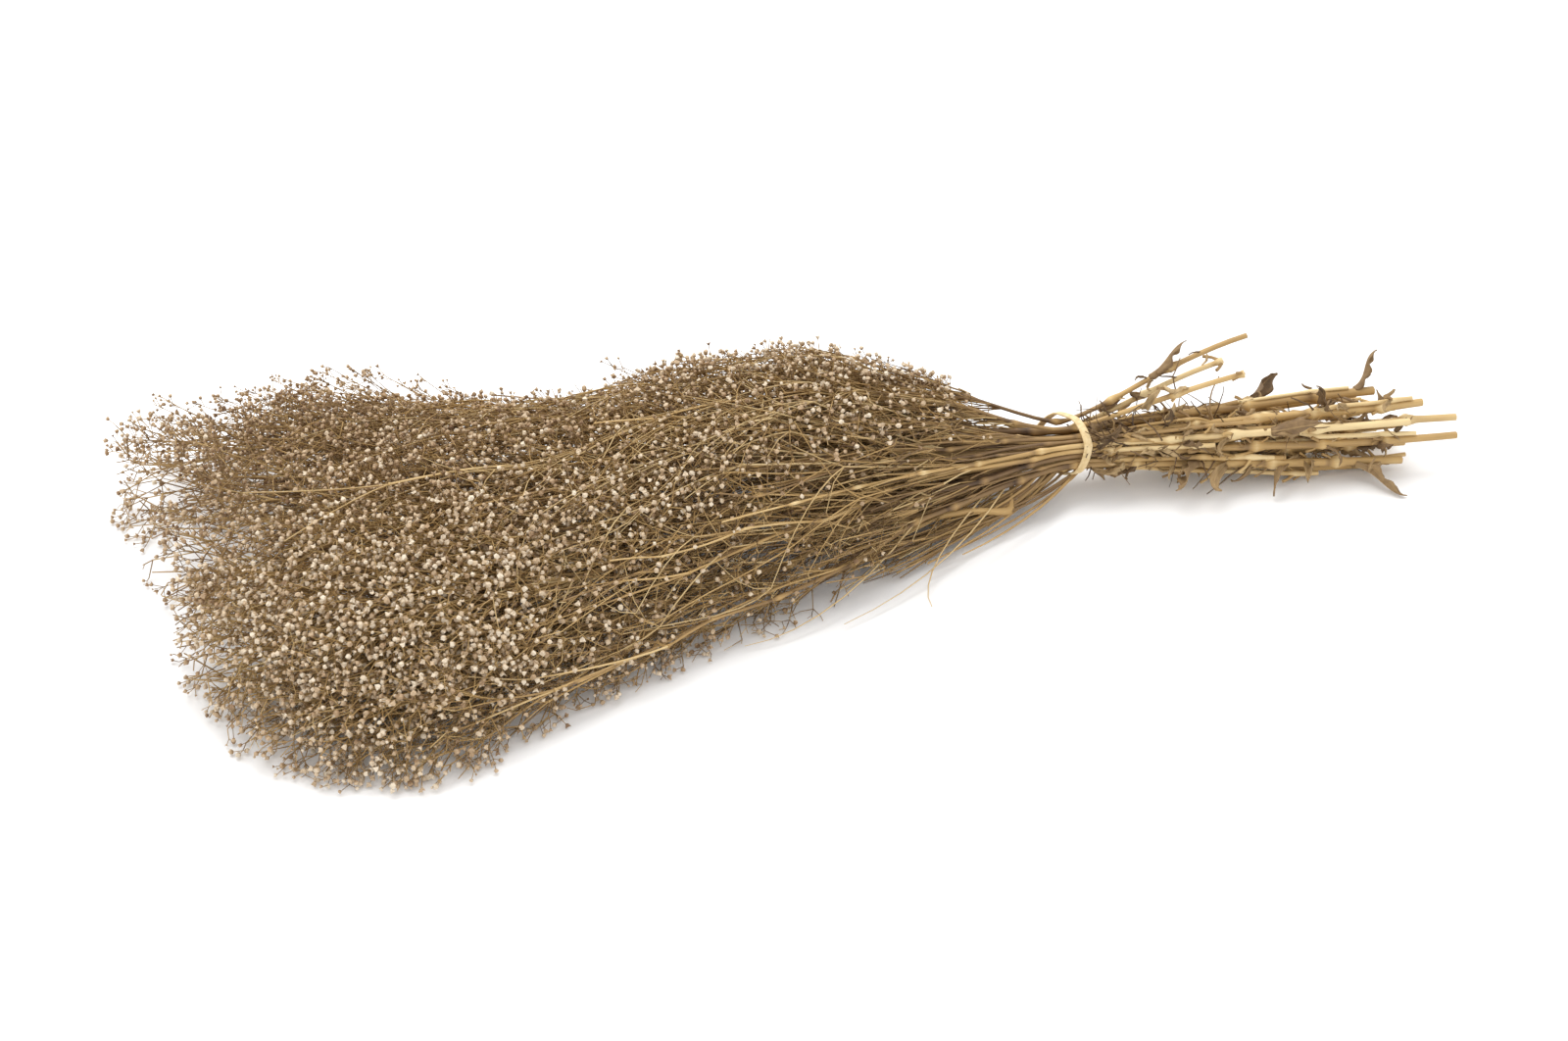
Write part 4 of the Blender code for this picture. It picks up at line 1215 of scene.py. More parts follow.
def grow_shoot(number, start, heading, fork, chance, gold=None):
    """Draw the path to a fork and all that grows from it; gold sets the tone of a bright shoot."""
    along = fork.place - start
    reach = along.length
    steps = max(2, round(reach / SHOOT_POINT_PITCH))
    points = bowed(start, fork.place, (heading + along.normalized()).normalized(), steps)
    radius = TWIG_RADIUS * fork.load ** LOAD_POWER * fork.girth
    thickness = [radius * (1.15 - 0.3 * step / steps) for step in range(steps + 1)]
    onward = (points[-1] - points[-2]).normalized()
    order = 1 if radius > TWIG_RADIUS * BRANCH_FROM else 2
    if order == 1:
        points.insert(-1, points[-1] - onward * KNOT_REACH)
        thickness.insert(-1, thickness[-1])
        thickness[-1] *= KNOT_SWELL
    SKELETONS[number].add(points, thickness, order, gold or chance.triangular(*SHOOT_TONES))
    for child in fork.children:
        grow_shoot(number, fork.place, onward, child, chance, gold)
    if not fork.children:
        aim = (onward + outward_at(fork.place) * SPRIG_SPREAD).normalized()
        tier = 2 if bud_share(fork.place) > 0.2 else 0
        grow_arms(number, fork.place, aim, tier, sprig_tone(fork.place, chance), chance)


def grow_from(host, place, fork, chance, gold=None):
    """Lead a shoot from the joint of a host that suits a place out to a fork."""
    root = root_on(host, place)
    start = point_on(host, root)
    heading = (point_on(host, root + 0.01) - start).normalized()
    grow_shoot(host.spray, start, heading, fork, chance, gold)


for host_number, roots in enumerate(ROOTS):
    chance = random.Random(SEED * 50 + host_number)
    for fork in roots:
        grow_from(HOSTS[host_number], fork.place, fork, chance)
print("buds:", sum(len(buds.places) for buds in BUDS), "paths' points:",
      sum(len(skeleton.places) for skeleton in SKELETONS))

# %% [markdown]
# In the middle of the bunch bright, golden shoots lie over the others, long and hardly curved, with a
# fork every 26 to 50 mm. Each rises from the stem below it to just under the outside of the mass and
# then follows it. They could be drawn one by one, but they are chains of the same forks as before, so
# the same function draws them. One at the left is thicker than the rest, and its forks are listed.

# %% Golden shoots over the top
OVER_COUNT = 58
OVER_X = (-0.20, 0.055, -0.010)
OVER_DEPTH = (0.001, 0.009)
OVER_STEP = (0.026, 0.050)
OVER_GIRTH = (0.62, 0.95)
OVER_GOLD = (0.62, 0.95)
MIDDLE_Y = 0.019
FAN_OUT = 0.22
SIDE_AHEAD = (0.25, 0.95)
SIDE_OFF = (0.010, 0.026)
EDGE_CLEAR = 0.07
STEM_BELOW = (0.030, 0.014)
LEFT_GOLD = 0.80


def roof_at(x, y, depth):
    """A place a given depth under the outside of the mass, with y kept inside it."""
    near, far, top = section_at(x)
    half = (far - near) / 2
    y = min(max(y, near + EDGE_CLEAR * half), far - EDGE_CLEAR * half)
    across = abs(y - (near + far) / 2) / half
    return Vector((x, y, max(GROUND, top * (1 - across ** ROOF_CROWN) ** ROOF_DROP - depth)))


def over_chain(x, y, drift, count, chance):
    """Forks one after another along the outside, each with side shoots, the last with a sprig."""
    place = roof_at(x, y, chance.uniform(*OVER_DEPTH))
    step = chance.uniform(*OVER_STEP)
    girth = chance.uniform(*OVER_GIRTH)
    children = []
    way = chance.choice((-1, 1))
    for side in (way, -way)[:chance.choice((1, 1, 2))]:
        ahead = step * chance.uniform(*SIDE_AHEAD)
        off = side * chance.uniform(*SIDE_OFF)
        children.append(Fork(roof_at(x - ahead, y + off, chance.uniform(0.000, 0.010)), girth=girth))
    if count > 1 and x - step > STATION_X[0] + 0.03:
        onward = drift + chance.uniform(-0.005, 0.005)
        children.append(over_chain(x - step, y + onward, drift, count - 1, chance))
    return Fork(place, children, girth)


def grow_over(fork, gold, chance):
    """Lead a chain of forks down to the stem below it, and draw it."""
    back, down = STEM_BELOW
    below = Vector((fork.place.x + back, fork.place.y, fork.place.z - down))
    grow_from(nearest_host(below), below, fork, chance, gold)


chance = random.Random(SEED * 77)
for _ in range(OVER_COUNT):
    x = chance.triangular(*OVER_X)
    near, far = (float(np.interp(x, STATION_X, side)) for side in (NEAR_SIDE, FAR_SIDE))
    y = near + (far - near) * chance.uniform(0.08 if x > -0.09 else 0.45, 0.92)
    drift = (y - MIDDLE_Y) * FAN_OUT + chance.gauss(0.0, 0.009)
    chain = over_chain(x, y, drift, chance.choice((2, 3, 3, 4)), chance)
    grow_over(chain, chance.uniform(*OVER_GOLD), chance)
print("buds with the golden shoots:", sum(len(buds.places) for buds in BUDS))

# %% [markdown]
# At the upper left and here and there along the far edge, hair-thin wisps stand out of the mass with
# a few tiny buds, which keeps the outline from looking cut. Each stretch of the outline gets its
# own number of them. Last comes the thick shoot at the left, as listed forks.

# %% Wisps at the outline, and the thick shoot at the left
WISPS = (((-0.290, -0.165), (0.045, 0.105), 34), ((-0.095, -0.060), (0.040, 0.080), 5),
         ((0.045, 0.075), (0.045, 0.060), 6), ((-0.325, -0.290), (0.020, 0.100), 10))
WISP_RISE = (0.004, 0.0125)
WISP_RADII = [0.00034 - 0.00003 * step for step in range(6)]
WISP_TONES = (0.35, 0.80)
WISP_BUD_RADII = (0.00065, 0.00120)


def grow_wisp(x, y, chance):
    """A hair-thin shoot that stands out of the mass and carries a few tiny buds."""
    tip = roof_at(x, y, -chance.uniform(*WISP_RISE))
    below = roof_at(x + 0.020, y - 0.006, 0.012)
    host = nearest_host(below)
    start = point_on(host, root_on(host, below))
    points = bowed(start, tip, (below - start).normalized(), 5, 0.5)
    skeleton, buds = SKELETONS[host.spray], BUDS[host.spray]
    tone = chance.uniform(*WISP_TONES)
    skeleton.add(points, WISP_RADII, 2, tone)
    aim = (points[-1] - points[-2]).normalized()
    for _ in range(chance.randint(3, 6)):
        stray = Vector([chance.uniform(-1, 1) for _ in range(3)])
        branch = points[-1] - aim * chance.uniform(0.0, 0.006)
        direction = (aim + stray * 0.9).normalized()
        stop = branch + direction * chance.uniform(0.002, 0.006)
        skeleton.add([branch, stop], [0.00019, 0.00017], 2, tone)
        buds.places.append(tuple(stop))
        buds.facing.append(tuple(direction))
        buds.girth.append(chance.uniform(*WISP_BUD_RADII))
        buds.tone.append(chance.uniform(0.15, 0.65))


for x_range, y_range, count in WISPS:
    for _ in range(count):
        grow_wisp(chance.uniform(*x_range), chance.uniform(*y_range), chance)
thick_shoot = Fork(roof_at(-0.150, -0.012, 0.006), [
    Fork(roof_at(-0.205, -0.026, -0.003), [
        Fork(roof_at(-0.253, -0.049, -0.001), girth=1.1),
        Fork(roof_at(-0.271, -0.011, -0.002), girth=1.1)], girth=1.5)], girth=1.5)
grow_over(thick_shoot, LEFT_GOLD, chance)
print("buds with the wisps:", sum(len(buds.places) for buds in BUDS))

# %% [markdown]
# Under the near side of the neck, thin stalks flare out of the band and fill it down to the ground.
# Three loose shoots have strayed further and lie on the ground. A thick shoot is broken there: it
# comes down out of the neck, turns at a swollen joint and lies along the others, with an open end.
# The stalks and loose shoots are curves with one bend; only the broken one needs its points listed one by
# one.

# %% Stalks, loose shoots and the broken shoot at the near side
CURVE_STEPS = 7
LOOSE_SHOOTS = (
    ((0.078, -0.014, 0.010), (0.055, -0.050, 0.004), (-0.002, -0.075, 0.003)),
    ((0.045, -0.030, 0.010), (0.037, -0.050, 0.006), (0.042, -0.070, 0.003)),
    ((0.010, -0.055, 0.008), (-0.010, -0.080, 0.004), (-0.051, -0.082, 0.003)),
)
LOOSE_RADII = (0.00055, 0.00020)
LOOSE_TONE = 0.80
NEAR_STALKS = 26
NEAR_STALK_X = (0.106, 0.142)
NEAR_STALK_RADII = (0.0008, 0.0012)
NEAR_STALK_TIP = 0.0004
NEAR_STALK_TONES = (0.25, 0.62)
BROKEN_SHOOT = (
    ((0.1020, 0.0040, 0.0170), 0.0011), ((0.0995, -0.0020, 0.0150), 0.0012),
    ((0.0985, -0.0065, 0.0125), 0.0013), ((0.0975, -0.0098, 0.0108), 0.0021),
    ((0.0955, -0.0118, 0.0103), 0.0026), ((0.0920, -0.0128, 0.0110), 0.0025),
    ((0.0870, -0.0135, 0.0128), 0.0019), ((0.0770, -0.0148, 0.0155), 0.0018),
    ((0.0620, -0.0166, 0.0166), 0.0018), ((0.0510, -0.0178, 0.0156), 0.0018),
    ((0.0465, -0.0182, 0.0150), 0.0023),
)
BROKEN_SHOOT_TONE = 0.60


def grow_curve(number, start, bend, tip, radii, tone):
    """A bare shoot in one smooth bend, thinner towards its tip."""
    shares = [step / CURVE_STEPS for step in range(CURVE_STEPS + 1)]
    points = [start * (1 - t) ** 2 + bend * 2 * t * (1 - t) + tip * t ** 2 for t in shares]
    SKELETONS[number].add(points, [radii[0] + (radii[1] - radii[0]) * t for t in shares], 1, tone)


def grow_near_stalk(chance):
    """A stalk that leaves the near side of the neck and flares towards the viewer and the ground."""
    x, flare = chance.uniform(*NEAR_STALK_X), chance.random()
    near = np.array((x, -0.004, 0.010))
    host = nearest_host(near)
    start = Vector(host.line[int(np.linalg.norm(host.line - near, axis=1).argmin())])
    bend_z = 0.0045 + chance.uniform(0.0, 0.006)
    tip_x = x - chance.uniform(0.075, 0.130)
    tip_z = 0.0040 + chance.uniform(0.0, 0.010)
    bend = Vector((x - 0.028, -0.0085 - 0.0065 * flare, bend_z))
    tip = Vector((tip_x, -0.029 - 0.018 * flare, tip_z))
    radii = (chance.uniform(*NEAR_STALK_RADII), NEAR_STALK_TIP)
    grow_curve(host.spray, start, bend, tip, radii, chance.uniform(*NEAR_STALK_TONES))


for near, bend, tip in LOOSE_SHOOTS:
    host = nearest_host(near)
    start = point_on(host, root_on(host, near))
    grow_curve(host.spray, start, Vector(bend), Vector(tip), LOOSE_RADII, LOOSE_TONE)
for _ in range(NEAR_STALKS):
    grow_near_stalk(chance)
broken_places, broken_radii = zip(*BROKEN_SHOOT)
SKELETONS[nearest_host(broken_places[0]).spray].add(
    [Vector(place) for place in broken_places], broken_radii, 0, BROKEN_SHOOT_TONE)
print("paths' points with the near side:", sum(len(skeleton.places) for skeleton in SKELETONS))

# %% [markdown]
# The inside of the mass is a thicket of dry twigs that carry no buds. It keeps the ground from being
# seen through the bunch, and it is what looks dark brown between the buds. Each twig starts at the
# point of a path that is nearest to a random place inside, and runs on lengthwise, a little astray.
# The neck gets a second, straighter lot, which may lie right under its outside.

# %% The thicket inside
INNER_THICKET = (5200, (-0.300, 0.060), 0.009, 0.60)
NECK_THICKET = (2000, (0.010, 0.112), 0.0018, 0.25)
INNER_LENGTHS = (0.014, 0.036)
INNER_RADII = (0.00026, 0.00048)
INNER_TONES = (0.15, 0.95, 0.50)
INNER_BLEACH = 0.16
THIN_LEFT_X = (-0.300, -0.200)
THIN_LEFT_SHARES = (0.05, 1.0)
FLOW_FROM = Vector((0.175, 0.019, 0.028))


def path_points():
    """A search tree over the points of all shoots, and the spray that each belongs to."""
    tree = KDTree(sum(len(skeleton.places) for skeleton in SKELETONS))
    sprays = []
    for number, skeleton in enumerate(SKELETONS):
        for place in skeleton.places:
            tree.insert(place, len(sprays))
            sprays.append(number)
    tree.balance()
    return tree, sprays


def grow_thicket(count, x_range, least_depth, astray, chance):
    """A number of twigs within a range of x and below a depth, fewest where the mass is thinnest."""
    tree, sprays = path_points()
    grown = 0
    while grown < count:
        x = chance.uniform(*x_range)
        near, far, top = section_at(x)
        place = Vector((x, chance.uniform(near, far), chance.uniform(0.003, top)))
        share = 1.7 * min(fullness(place), 1.0) * float(np.interp(x, THIN_LEFT_X, THIN_LEFT_SHARES))
        if depth_in_mass(place) < least_depth or chance.random() > share:
            continue
        root, index, _ = tree.find(place)
        flow = (root - FLOW_FROM).normalized()
        aim = (flow + Vector([chance.uniform(-1, 1) for _ in range(3)]) * astray).normalized()
        stop = reach_inside(root, aim, chance.uniform(*INNER_LENGTHS), -least_depth * 0.6)
        if stop is None:
            continue
        radius = chance.uniform(*INNER_RADII)
        tone = chance.triangular(*INNER_TONES) + INNER_BLEACH * bleach(place)
        SKELETONS[sprays[index]].add([root, stop], [radius * 1.1, radius * 0.8], 2, tone)
        grown += 1


chance = random.Random(SEED * 79)
grow_thicket(*INNER_THICKET, chance)
grow_thicket(*NECK_THICKET, chance)
print("paths' points with the thicket:", sum(len(skeleton.places) for skeleton in SKELETONS))

# %% [markdown]
# On the bare part the joints still carry what grew there: short pegs where shoots were cut off, in
# pairs that point towards the flowers, and dark, hair-thin twigs that have curled while drying. They
# are thickest on top next to the band.

# %% Pegs and curled twigs on the bare part
PEG_LENGTH = (0.004, 0.012)
PEG_RADIUS = (0.0006, 0.0010)
PEGS_MISSING = 0.25
PEGGED_X = (NECK.x + 0.018, 0.308)
HAIR_COUNT = 330
HAIR_RADIUS = (0.00026, 0.00060)
HAIR_STEP = (0.0025, 0.0052)
BARE_FROM_X = NECK.x + 0.006


def frame_at(host, along):
    """A place on a host, its direction towards the flowers, and two directions across it."""
    place = point_on(host, along)
    onward = (point_on(host, along + 0.004) - place).normalized()
    side = onward.cross(Vector((0, 0, 1))).normalized()
    return place, onward, side, side.cross(onward)


def grow_pegs(host, along, chance):
    """One or two short pegs on opposite sides of a joint."""
    place, onward, side, up = frame_at(host, along)
    turn = chance.uniform(0, 2 * math.pi)
    for half in (0, 1):
        if chance.random() < PEGS_MISSING:
            continue
        out = side * math.cos(turn + math.pi * half) + up * math.sin(turn + math.pi * half)
        aim = (onward * chance.uniform(0.7, 1.4) + out).normalized()
        length = chance.uniform(*PEG_LENGTH)
        points = [place, place + aim * length * 0.6, place + (aim + onward * 0.2).normalized() * length]
        for point in points:
            point.z = max(point.z, GROUND)
        girth = chance.uniform(*PEG_RADIUS)
        SKELETONS[host.spray].add(points, [girth * 1.3, girth, girth * 1.15], 1, chance.uniform(0.35, 0.75))


def grow_hair(host, along, chance):
    """A curled, dry twig: a path whose direction wanders."""
    place, onward, side, up = frame_at(host, along)
    turn = chance.gauss(math.pi / 2, 0.9)
    aim = (onward * chance.uniform(0.2, 1.2) + side * math.cos(turn) + up * math.sin(turn)).normalized()
    points = [place]
    stray = Vector([chance.uniform(-1, 1) for _ in range(3)])
    for _ in range(chance.randint(3, 7)):
        wander = Vector([chance.gauss(0, 0.22) for _ in range(3)])
        aim = (aim + stray * 0.30 + onward * 0.25 + wander).normalized()
        after = points[-1] + aim * chance.uniform(*HAIR_STEP)
        after.z = max(after.z, GROUND)
        if after.x < BARE_FROM_X:
            break
        points.append(after)
    if len(points) < 3:
        return
    radius = chance.uniform(*HAIR_RADIUS)
    radii = [radius * (1.2 - 0.7 * step / len(points)) for step in range(len(points))]
    SKELETONS[host.spray].add(points, radii, 2, chance.uniform(0.05, 0.50))


chance = random.Random(SEED * 78)
for host in HOSTS:
    for joint, _ in host.joints:
        if PEGGED_X[0] < point_on(host, joint).x < PEGGED_X[1]:
            grow_pegs(host, joint, chance)
for _ in range(HAIR_COUNT):
    host = chance.choice(HOSTS)
    x = 0.140 + 0.155 * chance.random() ** 1.8
    if host.line[0][0] > x + 0.006:
        grow_hair(host, float(np.interp(-x, -host.line[:, 0], host.along)), chance)
print("paths' points with pegs and hairs:", sum(len(skeleton.places) for skeleton in SKELETONS))

# %% [markdown]
# A few bud shapes are enough, because each copy is turned, scaled and toned on its own. Each shape
# is a small turned form with six sides: a narrow cup, a round belly and a crumpled top. Some are
# closed; in others every second point of the belly juts out and up, like petals that have opened.

# %% The bud shapes
BUD_SIDES = 6
BUD_HEIGHT = 1.7
BUD_PROFILES = (
    ((0.60, 0.20), (0.98, 1.10), 1.80, 0.10),
    ((0.52, 0.30), (0.90, 1.25), 1.35, 0.30),
    ((0.62, 0.25), (0.86, 1.05), 2.05, 0.08),
    ((0.50, 0.40), (1.02, 1.20), 1.10, 0.34),
    ((0.70, 0.22), (0.94, 1.15), 1.60, 0.20),
)


def bud_shape(index, home):
    """One bud of unit radius, standing on the origin, with the petal attribute from 0 to 1."""
    low, high, crown, frill = BUD_PROFILES[index]
    chance = random.Random(SEED * 90 + index)
    work = bmesh.new()
    rings = []
    for radius, height in (low, high):
        ring = []
        for side in range(BUD_SIDES):
            turn = 2 * math.pi * (side + 0.3 * len(rings)) / BUD_SIDES
            jut = frill * (1 if side % 2 else -1) * len(rings)
            uneven = radius * (chance.uniform(0.84, 1.12) + jut * 0.5)
            ring.append(work.verts.new((uneven * math.cos(turn), uneven * math.sin(turn),
                                        height + jut + chance.uniform(-0.10, 0.10))))
        rings.append(ring)
    base = work.verts.new((0.0, 0.0, -0.05))
    top = work.verts.new((chance.uniform(-0.16, 0.16), chance.uniform(-0.16, 0.16), crown))
    for side in range(BUD_SIDES):
        after = (side + 1) % BUD_SIDES
        work.faces.new((base, rings[0][after], rings[0][side]))
        work.faces.new((top, rings[1][side], rings[1][after]))
        work.faces.new((rings[0][side], rings[0][after], rings[1][after], rings[1][side]))
    bmesh.ops.recalc_face_normals(work, faces=work.faces)
    mesh = bpy.data.meshes.new(f"bud_shape_{index}")
    work.to_mesh(mesh)
    work.free()
    set_attribute(mesh, "petal", "FLOAT", [vert.co.z / BUD_HEIGHT for vert in mesh.vertices])
    home.objects.link(bpy.data.objects.new(mesh.name, mesh))


BUD_SHAPES = bpy.data.collections.new("bud_shapes")
for index in range(len(BUD_PROFILES)):
    bud_shape(index, BUD_SHAPES)

# %% [markdown]
# The buds are instances on points. The points carry which way each bud faces, how big it is and its
# tone; the node group picks one of the shapes at random, turns it to face along its pedicel, spins
# it, and at the end makes the instances real, because an instance wouldn't be exported.

# %% Geometry Nodes: buds on points
def buds_on_points():
    tree, source, result = new_group("buds_on_points", (
        ("Points", "NodeSocketGeometry"), ("Shapes", "NodeSocketCollection"),
        ("Shape count", "NodeSocketInt"), ("Seed", "NodeSocketInt"), ("Smooth", "NodeSocketBool"),
        ("Finish", "NodeSocketMaterial")))
    shapes = add_node(tree, "GeometryNodeCollectionInfo", {
        "Collection": source.outputs["Shapes"], "Separate Children": True, "Reset Children": True})
    last = add_node(tree, "ShaderNodeMath", {0: source.outputs["Shape count"], 1: 1.0}, operation="SUBTRACT")
    pick = add_node(tree, "FunctionNodeRandomValue", {
        4: 0, 5: last.outputs[0], "Seed": source.outputs["Seed"]}, data_type="INT")
    spin = add_node(tree, "FunctionNodeRandomValue", {
        2: 0.0, 3: 2 * math.pi, "Seed": source.outputs["Seed"]}, data_type="FLOAT")
    facing = add_node(tree, "GeometryNodeInputNamedAttribute", {"Name": "facing"}, data_type="FLOAT_VECTOR")
    girth = add_node(tree, "GeometryNodeInputNamedAttribute", {"Name": "girth"}, data_type="FLOAT")
    aimed = add_node(tree, "FunctionNodeAlignRotationToVector", {"Vector": facing.outputs["Attribute"]},
                     axis="Z")
    about = add_node(tree, "FunctionNodeAxisAngleToRotation", {
        "Axis": (0.0, 0.0, 1.0), "Angle": spin.outputs[1]})
    turned = add_node(tree, "FunctionNodeRotateRotation", {
        "Rotation": aimed.outputs["Rotation"], "Rotate By": about.outputs["Rotation"]},
        rotation_space="LOCAL")
    placed = add_node(tree, "GeometryNodeInstanceOnPoints", {
        "Points": source.outputs["Points"], "Instance": shapes.outputs["Instances"], "Pick Instance": True,
        "Instance Index": pick.outputs[2], "Rotation": turned.outputs["Rotation"],
        "Scale": girth.outputs["Attribute"]})
    real = add_node(tree, "GeometryNodeRealizeInstances", {"Geometry": placed.outputs["Instances"]})
    smooth = add_node(tree, "GeometryNodeSetShadeSmooth", {
        "Geometry": real.outputs["Geometry"], "Shade Smooth": source.outputs["Smooth"]})
    painted = add_node(tree, "GeometryNodeSetMaterial", {
        "Geometry": smooth.outputs["Geometry"], "Material": source.outputs["Finish"]})
    tree.links.new(painted.outputs["Geometry"], result.inputs["Geometry"])
    return tree


BUD_TREE = buds_on_points()
print("node group:", BUD_TREE.name)

# %% [markdown]
# Every finished mesh becomes a piece: an object at the origin that rides on the bunch's one body,
# has a finish slot, and replaces the solid whose place it takes. A real bunch presses its lowest
# twigs flat on the ground, so whatever would lie under it is pressed flat there. For each spray the
# two node groups are then run: one gives its stalks, the other its buds.

# %% The stalks and buds of every spray
LOWEST_POINT = 0.0002
TUBE_SIDES = {"Stem sides": 8, "Branch sides": 4, "Twig sides": 3}


def add_piece(name, mesh, replaced):
    """Put a finished mesh in the scene as a piece that rides on the bunch and replaces a solid.

    What would lie under the ground is pressed flat on it."""
    places = np.empty(len(mesh.vertices) * 3)
    mesh.vertices.foreach_get("co", places)
    places[2::3] = np.maximum(places[2::3], LOWEST_POINT)
    mesh.vertices.foreach_set("co", places)
    mesh.update()
    piece = bpy.data.objects.new(name, mesh)
    bpy.context.scene.collection.objects.link(piece)
    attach(piece, "root")
    if replaced:
        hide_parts(replaced)
    return piece


total = 0
for number, (skeleton, buds) in enumerate(zip(SKELETONS, BUDS)):
    node = f"spray_{number + 1:02d}"
    stalks = grown_mesh(f"{node}_stalks", skeleton.mesh("paths"), TUBES, {**TUBE_SIDES, "Finish": STALK})
    add_piece(f"{node}_stalks", stalks, node)
    points = bpy.data.meshes.new("points")
    points.from_pydata(buds.places, [], [])
    set_attribute(points, "facing", "FLOAT_VECTOR", buds.facing)
    set_attribute(points, "girth", "FLOAT", buds.girth)
    set_attribute(points, "tone", "FLOAT", buds.tone)
    cluster = grown_mesh(f"{node}_buds", points, BUD_TREE, {
        "Shapes": BUD_SHAPES, "Shape count": len(BUD_PROFILES), "Seed": SEED + number, "Smooth": False,
        "Finish": BUD_PAPER})
    add_piece(f"{node}_buds", cluster, node)
    for mesh in (stalks, cluster):
        total += sum(len(face.vertices) - 2 for face in mesh.polygons)
print("triangles in the sprays:", total)

# %% [markdown]
# A withered leaf is dark to golden brown and matt, with a paler midrib, fine side veins and blotches
# a few millimetres wide. The midrib and the veins follow the blade, so they read its UV: across the
# blade and along it. The blotches don't, so they read the object's own coordinates.

# %% Material: withered leaf
VEINS_OVER_BLADE = (16.0, 3.0, 1.0)
BLOTCH_MM = 3.846
RIB_HALF_WIDTH = (0.03, 0.09)
RIB_LIGHT = 0.22
VEIN_SHARE = 0.5
BLOTCH_SHARE = 0.5
TONE_SHARE = 0.9


def withered_leaf():
    made, tree, shader = new_material("withered_leaf")
    tone = add_node(tree, "ShaderNodeAttribute", attribute_name="tone").outputs["Fac"]
    place = add_node(tree, "ShaderNodeUVMap").outputs["UV"]
    split = add_node(tree, "ShaderNodeSeparateXYZ", {"Vector": place})
    from_rib = add_node(tree, "ShaderNodeMath", {0: split.outputs["X"], 1: 0.5}, operation="SUBTRACT")
    away = add_node(tree, "ShaderNodeMath", {0: from_rib.outputs[0]}, operation="ABSOLUTE")
    rib = add_node(tree, "ShaderNodeMapRange", {
        "Value": away.outputs[0], "From Min": RIB_HALF_WIDTH[0], "From Max": RIB_HALF_WIDTH[1],
        "To Min": RIB_LIGHT, "To Max": 0.0})
    stretched = add_node(tree, "ShaderNodeVectorMath", {0: place, 1: VEINS_OVER_BLADE}, operation="MULTIPLY")
    veins = add_node(tree, "ShaderNodeTexNoise", {"Vector": stretched.outputs[0], "Scale": 1.0, "Detail": 4.0,
                                                  "Roughness": 0.65})
    patches = add_node(tree, "ShaderNodeTexNoise", {
        "Vector": add_node(tree, "ShaderNodeTexCoord").outputs["Object"],
        "Scale": repeats(BLOTCH_MM), "Detail": 3.0})
    with_veins = add_node(tree, "ShaderNodeMath", {
        0: veins.outputs["Fac"], 1: VEIN_SHARE, 2: rib.outputs["Result"]}, operation="MULTIPLY_ADD")
    with_patches = add_node(tree, "ShaderNodeMath", {
        0: patches.outputs["Fac"], 1: BLOTCH_SHARE, 2: with_veins.outputs[0]}, operation="MULTIPLY_ADD")
    level = add_node(tree, "ShaderNodeMath", {
        0: tone, 1: TONE_SHARE, 2: with_patches.outputs[0]}, operation="MULTIPLY_ADD")
    lowered = add_node(tree, "ShaderNodeMath", {
        0: level.outputs[0], 1: (VEIN_SHARE + BLOTCH_SHARE) / 2}, operation="SUBTRACT")
    colour = colour_ramp(tree, lowered.outputs[0], (
        (0.00, "#4C3C2A"), (0.30, "#785F41"), (0.60, "#9E8259"), (1.00, "#CBB084")))
    tree.links.new(colour, shader.inputs["Base Color"])
    bump = add_node(tree, "ShaderNodeBump", {
        "Height": veins.outputs["Fac"], "Strength": 0.5, "Distance": 0.0004})
    tree.links.new(bump.outputs["Normal"], shader.inputs["Normal"])
    shader.inputs["Roughness"].default_value = 0.78
    return made


LEAF_SKIN = withered_leaf()
print("finish:", LEAF_SKIN.name)

# %% [markdown]
# A blade is a thin sheet, cupped along its midrib, with wavy edges. Its vertices are a grid over the
# leaf's length and width, which gives the rows that it needs for its curl and gives the finish the
# leaf's own two directions as UV. The sheet then gets its thickness. The leaves and the scraps
# between the stems are both made this way, the scraps with fewer columns.

# %% A blade
LEAF_COLUMNS = 6
SCRAP_COLUMNS = 2
EDGE_WAVES = 17
EDGE_WAVE_HEIGHT = 0.45
FAR_EDGE_PHASE = 1.3
CUP_POWER = 1.6


def blade_mesh(name, places, halves, lifts, columns, thickness, chance):
    """A thin blade: a grid of points across a path, its edges lifted and wavy, given a thickness."""
    work = bmesh.new()
    uv = work.loops.layers.uv.new("UVMap")
    rows = []
    spots = {}
    phase = chance.uniform(0, 2 * math.pi)
    for step, (place, half, lift) in enumerate(zip(places, halves, lifts)):
        part = step / (len(places) - 1)
        row = []
        for column in range(columns + 1):
            across = 2 * column / columns - 1
            turn = part * EDGE_WAVES + phase + (FAR_EDGE_PHASE if across > 0 else 0)
            wave = math.sin(turn) * EDGE_WAVE_HEIGHT * abs(across) ** 2
            vert = work.verts.new(place + half * across + lift * (abs(across) ** CUP_POWER + wave))
            spots[vert] = (0.5 + across / 2, part)
            row.append(vert)
        rows.append(row)
    for low, high in zip(rows, rows[1:]):
        for column in range(columns):
            face = work.faces.new((low[column], low[column + 1], high[column + 1], high[column]))
            face.smooth = True
            for loop in face.loops:
                loop[uv].uv = spots[loop.vert]
    bmesh.ops.recalc_face_normals(work, faces=work.faces)
    bmesh.ops.solidify(work, geom=work.faces[:], thickness=thickness)
    bmesh.ops.recalc_face_normals(work, faces=work.faces)
    mesh = bpy.data.meshes.new(name)
    work.to_mesh(mesh)
    work.free()
    return mesh


print("columns of a leaf and of a scrap:", LEAF_COLUMNS, SCRAP_COLUMNS)

